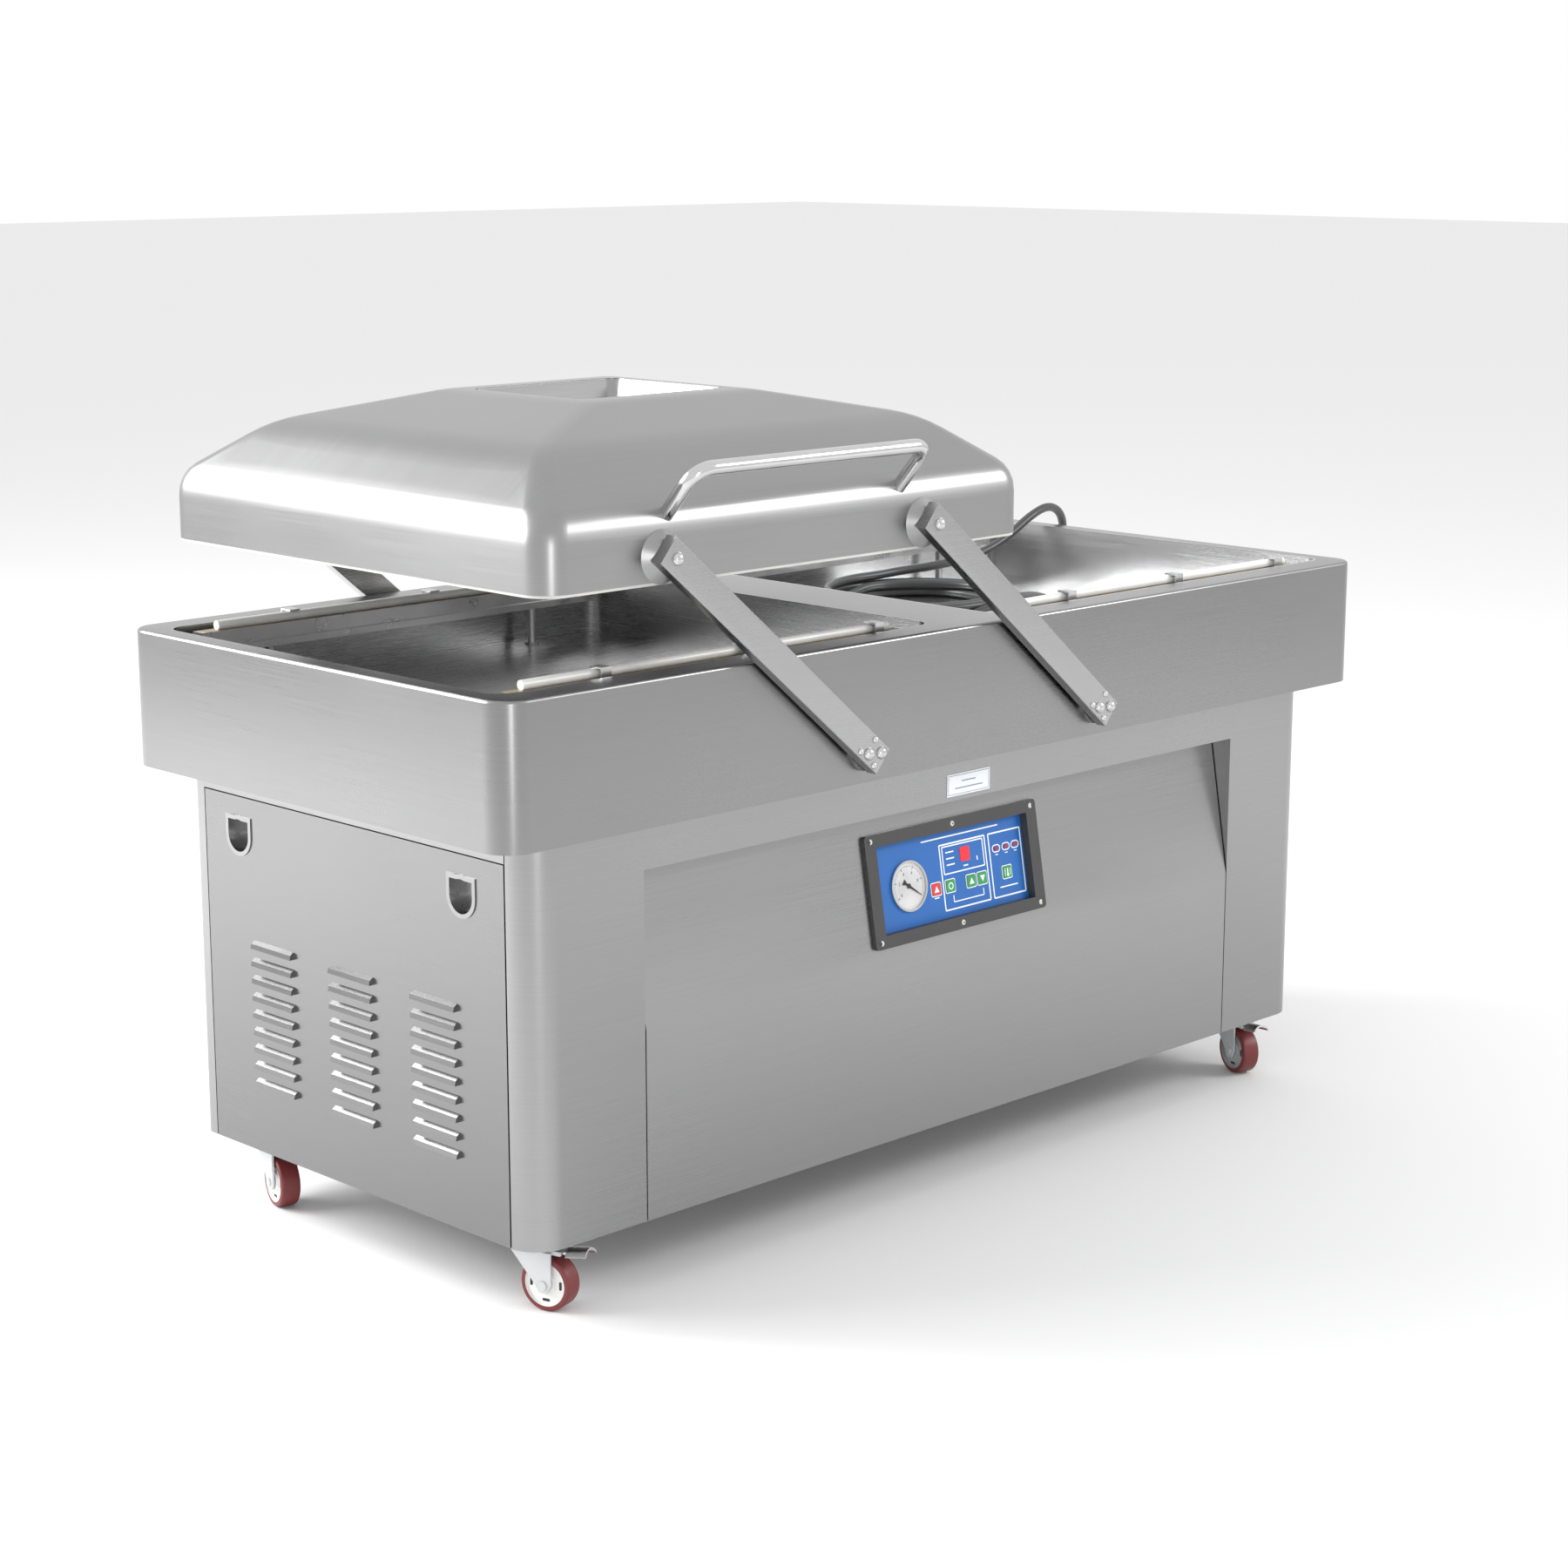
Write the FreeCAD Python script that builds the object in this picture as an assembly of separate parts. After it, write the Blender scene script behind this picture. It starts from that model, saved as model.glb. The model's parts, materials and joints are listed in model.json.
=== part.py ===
import FreeCAD, Part
import math
import os

from FreeCAD import Vector

# Double-chamber vacuum packing machine. Millimetres, +X along the machine, front at -Y, +Z up.
# Origin: on the floor, under the middle of the machine's box. The shapes are built about the
# middle of the tank; origin_shift then moves them back, because the handle stands out in front.
# One lid swings on four parallel arms between the left and the right chamber.

# ---------------------------------------------------------------- driving dimensions
tank_length = 1460.0
tank_depth = 674.0
tank_top = 694.0
tank_height = 159.0
tank_corner = 34.0
tank_sheet = 3.0
tank_edge = 4.0
tank_lip = 90.0

rim_end = 24.5
rim_side = 39.0
divider = 101.0
chamber_corner = 25.0
chamber_depth = 77.0
pan_sheet = 2.0

cabinet_length = 1343.0
cabinet_depth = 605.0
cabinet_base = 85.0
cabinet_sheet = 2.0
cabinet_front_corner = 40.0
cabinet_rear_corner = 14.0
post_width = 160.5
post_side = 39.5
rear_return = 24.5
side_rail_height = 28.0
fascia_height = 55.0
cover_setback = 31.0
cover_fold_height = 216.0
sheet_gap = 1.5
flange = 12.0

upright = 30.0
upright_inset = 16.5
tray_sheet = 3.0

lid_length = 736.0
lid_depth = 664.0
lid_corner = 34.0
lid_sheet = 3.0
lid_wall = 74.0
lid_slope_rise = 61.0
lid_slope_in_x = 76.0
lid_slope_in_y = 93.0
lid_crown_rise = 33.0
lid_crown_x = 253.0
lid_crown_y = 251.0
lid_flange = 14.0
gasket_thickness = 3.0
gasket_width = 10.0
gasket_gap = 0.3

window_x = 214.0
window_y = 187.0
window_depth = 22.0
window_taper = 12.0
window_ledge = 14.0
pane_thickness = 8.0
retainer_thickness = 6.0

arm_length = 387.0
arm_width = 35.0
arm_thickness = 15.0
arm_lower_end = 16.5
arm_upper_end = 17.0
arm_spacing = 400.0
arm_offset = -11.0
lid_offset = -4.0
arm_gap = 5.0
pivot_head = 4.0
arm_rest_angle = 50.2
shaft_height = 37.0
shaft_radius = 12.5
spigot_radius = 10.0
pivot_radius = 8.0
pivot_height = 29.3
boss_radius = 29.0
boss_face_radius = 16.0
bearing_radius = 22.0
running_clearance = 0.05
open_pivot_clearance = 0.6
face_gap = 0.5

handle_span = 353.0
handle_offset = -18.0
handle_tube = 16.0
handle_bend = 24.0
handle_reach = 62.0
handle_tilt = 42.0

seal_length = 596.0
rod_setback = 25.0
seal_width = 20.0
seal_height = 26.0
seal_top_below_rim = 5.0
seal_inset = 26.0
seal_travel = 8.0
rod_radius = 5.5
clip_width = 14.0
clip_sheet = 2.0
clip_first = -166.0
clip_pitch = 208.0
clip_count = 3
piston_radius = 5.0
cylinder_radius = 14.0
cylinder_depth = 25.0
cylinder_base = 3.0
piston_gland_radius = 9.0
piston_gland_height = 3.0
piston_engagement = 18.0
piston_span = 400.0
pad_width = 20.0
pad_height = 14.0

lever_length = 60.0
lever_width = 20.0
lever_thickness = 8.0
spring_radius = 13.0
spring_wall = 3.0
spring_pin = 4.0
spring_anchor_height = 190.0

panel_width = 300.0
panel_height = 134.0
panel_low = 20.0
bezel_side = 18.0
bezel_end = 15.0
bezel_proud = 5.0
panel_recess = 6.0
panel_plate_thickness = 3.0
button_width = 15.0
button_height = 14.0
button_gap = 0.3
button_proud = 1.2
button_travel = 0.8
gauge_radius = 30.0
gauge_x = -75.0
gauge_up = panel_low + 64.0
needle_angle = -35.0
display_x = 27.0
display_up = panel_low + 86.0
display_width = 16.0
display_height = 17.0
display_proud = 0.6

louvre_width = 76.0
louvre_pitch = 20.6
louvre_rows = 9
louvre_columns = 3
louvre_first_height = 250.0
louvre_column_pitch = 147.0
louvre_column_centre = 4.0
louvre_depth = 6.0
louvre_height = 9.0
cup_width = 42.0
cup_height = 41.0
cup_depth = 16.0
cup_top = 27.0
cup_rear = 211.0
cup_front = -192.5

wheel_radius = 31.0
wheel_width = 24.0
caster_x = 618.0
caster_y = 238.0
caster_trail = 20.0
axle_radius = 5.0
fork_sheet = 2.5
pedal_half = 8.0
pedal_pivot_x = 36.0
pedal_pivot_z = 68.0

cord_diameter = 12.0
cord_crossing_y = 202.0
cord_stop_height = 30.0
gland_x = 600.0
gland_z = 330.0
gland_radius = 11.0
gland_length = 24.0
coil_x = 370.0
coil_y = 125.0
coil_half_x = 146.0
coil_half_y = 131.0
coil_ring = 40.0
coil_height = 34.0
coil_exit_angle = 258.0
plug_run = 45.0
plug_boot = 26.0
plug_length = 50.0
plug_width = 34.0
plug_height = 28.0
plug_pin = 2.4
plug_pin_length = 19.0
plug_pin_spacing = 19.0

# ---------------------------------------------------------------- sizes that follow
half_length = tank_length / 2
half_depth = tank_depth / 2
tank_bottom = tank_top - tank_height
cabinet_x = cabinet_length / 2
cabinet_y = cabinet_depth / 2
cabinet_top = tank_bottom
post_x = cabinet_x - post_width
side_front = -cabinet_y + post_side
side_rear = cabinet_y - rear_return

chamber_length = (tank_length - divider - 2 * rim_end) / 2
chamber_width = tank_depth - 2 * rim_side
chamber_x = divider / 2 + chamber_length / 2
chamber_floor = tank_top - chamber_depth

shaft_z = tank_bottom + shaft_height
shaft_x = {"left": arm_offset - arm_spacing / 2, "right": arm_offset + arm_spacing / 2}
arm_inner = half_depth + arm_gap
arm_outer = arm_inner + arm_thickness

rest = math.radians(arm_rest_angle)
lid_x = lid_offset - arm_length * math.sin(rest)
lid_z = shaft_z + arm_length * math.cos(rest) - pivot_height
lid_top = gasket_thickness + lid_wall + lid_slope_rise + lid_crown_rise
closed_rise = tank_top + gasket_gap + pivot_height - shaft_z
closed_angle = math.degrees(math.acos(closed_rise / arm_length))
stopped_rise = tank_top + cord_stop_height + pivot_height - shaft_z
stopped_angle = math.degrees(math.acos(stopped_rise / arm_length))

cover_angle = math.degrees(math.atan2(cover_setback, cabinet_top - cabinet_base
                                      - fascia_height - cover_fold_height))
cover_fold = cabinet_base + cover_fold_height

UP = Vector(0, 0, 1)
FRONT = Vector(0, -1, 0)


# ---------------------------------------------------------------- small helpers
def box(x0, x1, y0, y1, z0, z1):
    return Part.makeBox(x1 - x0, y1 - y0, z1 - z0, Vector(x0, y0, z0))


def cylinder(radius, height, base, direction=UP):
    return Part.makeCylinder(radius, height, base, direction)


def tube(outer, inner, height, base, direction=UP):
    return cylinder(outer, height, base, direction).cut(cylinder(inner, height, base, direction))


def rounded_wire(half_x, half_y, radius, z, front_radius=None):
    """Closed wire of a rectangle with round corners; front_radius sets the two -Y corners."""
    front = radius if front_radius is None else front_radius
    corners = [(1, 1, radius), (-1, 1, radius), (-1, -1, front), (1, -1, front)]
    diagonal = 1 - math.sqrt(0.5)
    ends = []
    for sx, sy, r in corners:
        first = Vector(sx * half_x, sy * (half_y - r), z)
        second = Vector(sx * (half_x - r), sy * half_y, z)
        middle = Vector(sx * (half_x - r * diagonal), sy * (half_y - r * diagonal), z)
        ends.append((first, middle, second) if sx * sy > 0 else (second, middle, first))
    edges = []
    for index, (first, middle, second) in enumerate(ends):
        edges.append(Part.Arc(first, middle, second).toShape())
        edges.append(Part.LineSegment(second, ends[(index + 1) % 4][0]).toShape())
    return Part.Wire(edges)


def rounded_prism(half_x, half_y, radius, z0, z1, front_radius=None):
    wire = rounded_wire(half_x, half_y, radius, z0, front_radius)
    return Part.Face(wire).extrude(Vector(0, 0, z1 - z0))


def loft(rings):
    return Part.makeLoft([rounded_wire(*ring) for ring in rings], True, True)


def prism(points, direction):
    wire = Part.makePolygon([Vector(*p) for p in points] + [Vector(*points[0])])
    return Part.Face(wire).extrude(Vector(*direction))


def dome(radius, height, base, direction):
    """A round bolt head: the cap of a sphere, standing on base."""
    ball = (radius ** 2 + height ** 2) / (2 * height)
    centre = base + direction * (height - ball)
    return Part.makeSphere(ball, centre).common(cylinder(radius + 1, height, base, direction))


def moved(shape, x=0.0, y=0.0, z=0.0):
    result = shape.copy()
    result.translate(Vector(x, y, z))
    return result


def turned(shape, angle, axis, centre=Vector(0, 0, 0)):
    result = shape.copy()
    result.rotate(centre, axis, angle)
    return result


def mirrored(shape, normal):
    return shape.mirror(Vector(0, 0, 0), normal)


def fused(shapes):
    return shapes[0].multiFuse(shapes[1:]).removeSplitter() if len(shapes) > 1 else shapes[0]


def joined(shapes):
    return Part.makeCompound(shapes)


# ---------------------------------------------------------------- tank and chambers
def tank_shell():
    outer = rounded_prism(half_length, half_depth, tank_corner, tank_bottom, tank_top)
    top_edges = [e for e in outer.Edges if e.BoundBox.ZMin > tank_top - 0.01]
    outer = outer.makeFillet(tank_edge, top_edges)
    hollow = rounded_prism(half_length - tank_sheet, half_depth - tank_sheet,
                           tank_corner - tank_sheet, tank_bottom + tank_sheet, tank_top - tank_sheet)
    mouth = box(-half_length + tank_lip, half_length - tank_lip, -half_depth + tank_lip,
                half_depth - tank_lip, tank_bottom - 1, tank_bottom + tank_sheet + 1)
    shell = outer.cut(hollow).cut(mouth)
    for side in (-1, 1):
        opening = rounded_prism(chamber_length / 2, chamber_width / 2, chamber_corner,
                                tank_top - tank_sheet - 1, tank_top + 1)
        shell = shell.cut(moved(opening, x=side * chamber_x))
    bearing_length = tank_sheet + arm_gap - face_gap + 10
    for x in shaft_x.values():
        for facing in (-1, 1):
            start = Vector(x, facing * (half_depth + arm_gap - face_gap), shaft_z)
            inward = Vector(0, -facing, 0)
            shell = shell.fuse(cylinder(bearing_radius, bearing_length, start, inward))
            shell = shell.cut(cylinder(shaft_radius + running_clearance, bearing_length,
                                       start, inward))
    return shell


def seal_y():
    return chamber_width / 2 - seal_inset


def chamber_pan(side):
    outer = rounded_prism(chamber_length / 2, chamber_width / 2, chamber_corner,
                          chamber_floor - pan_sheet, tank_top)
    inner = rounded_prism(chamber_length / 2 - pan_sheet, chamber_width / 2 - pan_sheet,
                          chamber_corner - pan_sheet, chamber_floor, tank_top + 1)
    pan = outer.cut(inner)
    below = chamber_floor - pan_sheet - cylinder_depth
    bore = cylinder_depth - cylinder_base + pan_sheet + piston_gland_height
    for y in (-seal_y(), seal_y()):
        for x in (-piston_span / 2, piston_span / 2):
            pan = pan.fuse(cylinder(cylinder_radius, cylinder_depth + pan_sheet, Vector(x, y, below)))
            pan = pan.fuse(cylinder(piston_gland_radius, piston_gland_height,
                                    Vector(x, y, chamber_floor)))
            pan = pan.cut(cylinder(piston_radius + running_clearance, bore,
                                   Vector(x, y, below + cylinder_base)))
    return moved(pan, x=side * chamber_x)


# ---------------------------------------------------------------- seal bars and clamp rods
def seal_top():
    return tank_top - seal_top_below_rim


def seal_bottom():
    return seal_top() - seal_height


def seal_bar(side, y_side):
    """Aluminium bar with a heating strip, rod clips and two lifting pistons."""
    y = y_side * seal_y()
    half = seal_length / 2
    bar = box(-half, half, y - seal_width / 2, y + seal_width / 2, seal_bottom(), seal_top())
    for slot_side in (-1, 1):
        slot_y = y + slot_side * seal_width / 2
        bar = bar.cut(box(-half - 1, half + 1, slot_y - 3, slot_y + 3,
                          seal_bottom() + 8, seal_bottom() + 13))
    pieces = [bar]
    low = chamber_floor - piston_engagement
    for x in (-piston_span / 2, piston_span / 2):
        pieces.append(cylinder(piston_radius, seal_bottom() - low, Vector(x, y, low)))
    rod_y = y - y_side * 1.0
    outer = y + y_side * seal_width / 2
    top = seal_top() + 2 * rod_radius + clip_sheet
    for index in range(clip_count):
        x = clip_first + index * clip_pitch
        left = x - clip_width / 2
        right = x + clip_width / 2
        foot = sorted((outer, outer + y_side * clip_sheet))
        pieces.append(box(left, right, foot[0], foot[1], seal_top() - 12, top))
        over = sorted((outer, rod_y - y_side * rod_radius))
        pieces.append(box(left, right, over[0], over[1], top - clip_sheet, top))
        head = Vector(x, outer + y_side * clip_sheet, seal_top() - 6)
        pieces.append(dome(4, 2, head, Vector(0, y_side, 0)))
    return moved(fused(pieces), x=side * chamber_x)


def clamp_rods(side):
    rods = []
    for y_side in (-1, 1):
        y = y_side * (seal_y() - 1.0)
        rod = cylinder(rod_radius, seal_length - 2 * rod_setback,
                       Vector(rod_setback - seal_length / 2, y, seal_top() + rod_radius),
                       Vector(1, 0, 0))
        rods.append(moved(rod, x=side * chamber_x))
    return joined(rods)


# ---------------------------------------------------------------- cabinet
def cabinet_skin(z0, z1):
    """The cabinet's outer sheet between two heights, before it is cut into panels."""
    outer = rounded_prism(cabinet_x, cabinet_y, cabinet_rear_corner, z0, z1, cabinet_front_corner)
    s = cabinet_sheet
    inner = rounded_prism(cabinet_x - s, cabinet_y - s, cabinet_rear_corner - s, z0, z1,
                          cabinet_front_corner - s)
    return outer.cut(inner)


def cabinet_frame():
    """Welded chassis: floor tray, uprights, top rails, visible side rails and front fascia."""
    s = cabinet_sheet
    pieces = [rounded_prism(cabinet_x - s, cabinet_y - s, cabinet_rear_corner - s, cabinet_base,
                            cabinet_base + tray_sheet, cabinet_front_corner - s)]
    far_x = cabinet_x - upright_inset
    far_y = cabinet_y - upright_inset - cabinet_sheet
    low = cabinet_base + tray_sheet
    rail_low = cabinet_top - upright
    for sx in (-1, 1):
        x0, x1 = sorted((sx * far_x, sx * (far_x - upright)))
        for sy in (-1, 1):
            y0, y1 = sorted((sy * far_y, sy * (far_y - upright)))
            pieces.append(box(x0, x1, y0, y1, low, rail_low))
        pieces.append(box(x0, x1, -far_y, far_y, rail_low, cabinet_top))
    for sy in (-1, 1):
        y0, y1 = sorted((sy * far_y, sy * (far_y - upright)))
        pieces.append(box(-far_x, far_x, y0, y1, rail_low, cabinet_top))
    skin = cabinet_skin(cabinet_top - side_rail_height, cabinet_top)
    for sx in (-1, 1):
        x0, x1 = sorted((sx * cabinet_x, sx * (cabinet_x - 5)))
        pieces.append(skin.common(box(x0, x1, side_front, side_rear, low, cabinet_top)))
        x0, x1 = sorted((sx * (cabinet_x - s), sx * far_x))
        pieces.append(box(x0, x1, side_front, side_rear, cabinet_top - 3, cabinet_top))
    fascia_low = cabinet_top - fascia_height
    pieces.append(box(-post_x, post_x, -cabinet_y, -cabinet_y + s, fascia_low, cabinet_top))
    pieces.append(box(-post_x, post_x, -cabinet_y, -cabinet_y + cover_setback, fascia_low,
                      fascia_low + s))
    pieces.append(box(-post_x, post_x, -cabinet_y, -far_y, cabinet_top - 3, cabinet_top))
    for x in shaft_x.values():
        top = low + spring_anchor_height
        pieces.append(box(x - 10, x + 10, -22, -14, low, top))
        pieces.append(box(x - 25, x + 25, -35, -14, low, low + 4))
        pieces.append(cylinder(spring_pin, 28, Vector(x, -14, top - 8), Vector(0, 1, 0)))
    for x, y in caster_places():
        pieces.append(box(x - 32, x + 32, y - 32, y + 32, cabinet_base - 3, cabinet_base))
        pieces.append(cylinder(7, 11, Vector(x, y, cabinet_base - 14)))
    return fused(pieces)


def corner_post(side):
    """Bent front post: a wide front face, a round corner, and a return beside the front cover."""
    skin = cabinet_skin(cabinet_base, cabinet_top)
    x0, x1 = sorted((side * post_x, side * (cabinet_x + 1)))
    post = skin.common(box(x0, x1, -cabinet_y - 1, side_front - sheet_gap, cabinet_base,
                           cabinet_top))
    x0, x1 = sorted((side * post_x, side * (post_x + cabinet_sheet)))
    back = -cabinet_y + cover_setback
    return fused([post, box(x0, x1, -cabinet_y, back, cabinet_base + tray_sheet,
                            cabinet_top - upright)])


def cover_points(offset):
    """Side outline of the front cover's outer face, moved inwards by offset."""
    low = cabinet_base
    high = cabinet_top - fascia_height - sheet_gap
    back = math.tan(math.radians(cover_angle)) * (high - cover_fold)
    return [(-cabinet_y + offset, low), (-cabinet_y + offset, cover_fold),
            (-cabinet_y + back + offset, high)]


def front_cover():
    half = post_x - sheet_gap
    outer = cover_points(0)
    inner = cover_points(cabinet_sheet)
    outline = outer + inner[::-1]
    sheet = prism([(-half, y, z) for y, z in outline], (2 * half, 0, 0))
    flanges = []
    deep = cover_points(flange)
    side_outline = outer + deep[::-1]
    low = cabinet_base + tray_sheet + 0.5
    keep = box(-half, half, -cabinet_y, 0, low, cabinet_top)
    for x in (-half, half - cabinet_sheet):
        side = prism([(x, y, z) for y, z in side_outline], (cabinet_sheet, 0, 0))
        flanges.append(side.common(keep))
    cover = fused([sheet] + flanges)
    neck_x = panel_width / 2 - bezel_side + 4
    hole = box(-neck_x - 0.5, neck_x + 0.5, -20, 20, panel_low + bezel_end - 4.5,
               panel_low + panel_height - bezel_end + 4.5)
    return cover.cut(on_cover(hole))


def side_panel(side):
    """Lift-off side panel with rows of pressed louvres and two holes for the pull cups."""
    y0 = side_front + sheet_gap / 2
    y1 = side_rear - sheet_gap
    z0 = cabinet_base
    z1 = cabinet_top - side_rail_height - sheet_gap
    x1 = cabinet_x
    x0 = cabinet_x - cabinet_sheet
    low = cabinet_base + tray_sheet + 0.5
    pieces = [box(x0, x1, y0, y1, z0, z1)]
    pieces.append(box(x0 - flange, x1, y0, y0 + cabinet_sheet, low, z1))
    pieces.append(box(x0 - flange, x1, y1 - cabinet_sheet, y1, low, z1))
    pieces.append(box(x0 - flange, x1, y0, y1, z1 - cabinet_sheet, z1))
    panel = fused(pieces)
    slots = []
    hoods = []
    for column in range(louvre_columns):
        y = louvre_column_centre + (column - 1) * louvre_column_pitch
        for row in range(louvre_rows):
            z = cabinet_base + louvre_first_height - row * louvre_pitch
            hoods.append(louvre_hood(y, z))
            half = louvre_width / 2 - 3
            slots.append(box(x0 - 1, x1 + 1, y - half, y + half, z - 4.0, z + 3.0))
    panel = panel.cut(joined(slots)).fuse(hoods)
    for y in (cup_front, cup_rear):
        panel = panel.cut(cup_outline(y, 1.0, x0 - 1, x1 + 1))
    return panel if side > 0 else mirrored(panel, Vector(1, 0, 0))


def louvre_hood(y, z):
    """A pressed hood: full depth along its lower lip, blended into the sheet above and at its ends."""
    x1 = cabinet_x
    half = louvre_width / 2
    skin = 1.2
    low = z - 4.0
    outer = [(x1, low), (x1 + louvre_depth, low), (x1 + louvre_depth * 0.8, z + 1.5), (x1, z + 5)]
    inner = [(x1 - cabinet_sheet, low - 1), (x1 + louvre_depth - skin, low - 1),
             (x1 + louvre_depth * 0.8 - skin, z + 1.2), (x1 - cabinet_sheet, z + 3)]
    hood = prism([(x, y - half, zz) for x, zz in outer], (0, louvre_width, 0))
    hollow = prism([(x, y - half + 3, zz) for x, zz in inner], (0, louvre_width - 6, 0))
    return hood.cut(hollow)


def cup_outline(y, grow, x0, x1):
    """The D of a pull cup: square top corners and a half-round bottom, as a prism along X."""
    top = cabinet_top - side_rail_height - cup_top + grow
    radius = cup_width / 2 + grow
    centre = top - grow - cup_height + cup_width / 2
    upper = box(x0, x1, y - radius, y + radius, centre, top)
    lower = cylinder(radius, x1 - x0, Vector(x0, y, centre), Vector(1, 0, 0))
    return upper.fuse(lower)


def pull_cups(side):
    cups = []
    for y in (cup_front, cup_rear):
        rim = cup_outline(y, 3.0, cabinet_x, cabinet_x + 1.5)
        body = cup_outline(y, 0.5, cabinet_x - cup_depth, cabinet_x + 0.1)
        hollow = cup_outline(y, -2.0, cabinet_x - cup_depth + 1.5, cabinet_x + 3)
        cup = rim.fuse(body).cut(hollow)
        cups.append(cup if side > 0 else mirrored(cup, Vector(1, 0, 0)))
    return joined(cups)


def rear_panel():
    skin = cabinet_skin(cabinet_base, cabinet_top)
    panel = skin.common(box(-cabinet_x - 1, cabinet_x + 1, side_rear, cabinet_y + 1,
                            cabinet_base, cabinet_top))
    hole = cylinder(gland_radius, 20, Vector(gland_x, cabinet_y - 10, gland_z), Vector(0, 1, 0))
    return panel.cut(hole)


# ---------------------------------------------------------------- lid
def bend(points, index, reach, steps=4):
    """Round one corner of a profile of (inset x, inset y, height) points."""
    before, corner, after = points[index - 1], points[index], points[index + 1]

    def toward(other):
        gap = math.dist(corner, other)
        return tuple(c + (o - c) * min(reach / gap, 0.45) for c, o in zip(corner, other))

    start, end = toward(before), toward(after)
    curve = []
    for step in range(steps + 1):
        t = step / steps
        curve.append(tuple((1 - t) ** 2 * a + 2 * t * (1 - t) * b + t * t * c
                           for a, b, c in zip(start, corner, end)))
    return curve


def lid_profile():
    crown_in_x = (lid_length - lid_crown_x) / 2
    crown_in_y = (lid_depth - lid_crown_y) / 2
    base = gasket_thickness
    raw = [(0, 0, base), (0, 0, base + lid_wall),
           (lid_slope_in_x, lid_slope_in_y, base + lid_wall + lid_slope_rise),
           (crown_in_x, crown_in_y, lid_top), (crown_in_x + 20, crown_in_y + 20, lid_top)]
    return [raw[0]] + bend(raw, 1, 26) + bend(raw, 2, 34) + bend(raw, 3, 14, 2)


def lid_rings(inward, down):
    rings = []
    for inset_x, inset_y, z in lid_profile():
        half_x = lid_length / 2 - inset_x - inward
        half_y = lid_depth / 2 - inset_y - inward
        share = min(1.0, max(0.0, (z - gasket_thickness - lid_wall) / lid_slope_rise))
        radius = lid_corner * (1 - 0.55 * share) - inward
        rings.append((half_x, half_y, radius, z - down))
    return rings


def window_pit(grow, deeper, z_top):
    half_x = window_x / 2 + grow
    half_y = window_y / 2 + grow
    bottom = lid_top - window_depth - deeper
    return loft([(half_x - window_taper, half_y - window_taper, 10, bottom),
                 (half_x, half_y, 14, lid_top), (half_x, half_y, 14, z_top)])


def lid_shell():
    outer = loft(lid_rings(0, 0))
    rings = lid_rings(lid_sheet, lid_sheet)
    rings[0] = rings[0][:3] + (gasket_thickness + lid_sheet,)
    shell = outer.cut(loft(rings))
    half_x = lid_length / 2 - lid_flange
    half_y = lid_depth / 2 - lid_flange
    shell = shell.cut(rounded_prism(half_x, half_y, lid_corner - lid_flange, 0,
                                    gasket_thickness + lid_sheet + 1))
    shell = shell.fuse(window_pit(lid_sheet, lid_sheet, lid_top - 1))
    shell = shell.cut(window_pit(0, 0, lid_top + 5))
    sight_x = window_x / 2 - window_taper - window_ledge
    sight_y = window_y / 2 - window_taper - window_ledge
    shell = shell.cut(rounded_prism(sight_x, sight_y, 6, lid_top - window_depth - 10, lid_top))
    for boss, bore in zip(pivot_bosses(0), pivot_bosses(1)):
        shell = shell.fuse(boss).cut(bore)
    return placed_lid(shell)


def pivot_bosses(kind):
    """Conical bosses on the lid's long walls (kind 0) and the pivot bores through them (kind 1)."""
    shapes = []
    height = half_depth + arm_gap - face_gap - lid_depth / 2
    for side in (-1, 1):
        for facing in (-1, 1):
            root = Vector(arm_offset - lid_offset + side * arm_spacing / 2,
                          facing * lid_depth / 2, pivot_height)
            out = Vector(0, facing, 0)
            if kind == 0:
                cone = Part.makeCone(boss_radius, boss_face_radius, height, root, out)
                hub = cylinder(boss_face_radius, lid_sheet + 8, root, out * -1)
                shapes.append(cone.fuse(hub))
            else:
                slack = running_clearance if side < 0 else open_pivot_clearance
                start = root - out * (lid_sheet + 9)
                shapes.append(cylinder(pivot_radius + slack, height + lid_sheet + 10, start, out))
    return shapes


def placed_lid(shape):
    return moved(shape, x=lid_x, z=lid_z)


def lid_window():
    half_x = window_x / 2 - window_taper - window_ledge + 8
    half_y = window_y / 2 - window_taper - window_ledge + 8
    top = lid_top - window_depth - lid_sheet
    return placed_lid(rounded_prism(half_x, half_y, 8, top - pane_thickness, top))


def lid_window_frame():
    sight_x = window_x / 2 - window_taper - window_ledge
    sight_y = window_y / 2 - window_taper - window_ledge
    top = lid_top - window_depth - lid_sheet
    low = top - pane_thickness - retainer_thickness
    ring = rounded_prism(sight_x + 22, sight_y + 22, 10, low, top)
    ring = ring.cut(rounded_prism(sight_x + 8, sight_y + 8, 8, top - pane_thickness, top))
    return placed_lid(ring.cut(rounded_prism(sight_x, sight_y, 6, low, top)))


def lid_gasket():
    half_x = lid_length / 2 - 1
    half_y = lid_depth / 2 - 1
    ring = rounded_prism(half_x, half_y, lid_corner - 1, 0, gasket_thickness)
    w = gasket_width
    hole = rounded_prism(half_x - w, half_y - w, lid_corner - 1 - w, 0, gasket_thickness)
    return placed_lid(ring.cut(hole))


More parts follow.
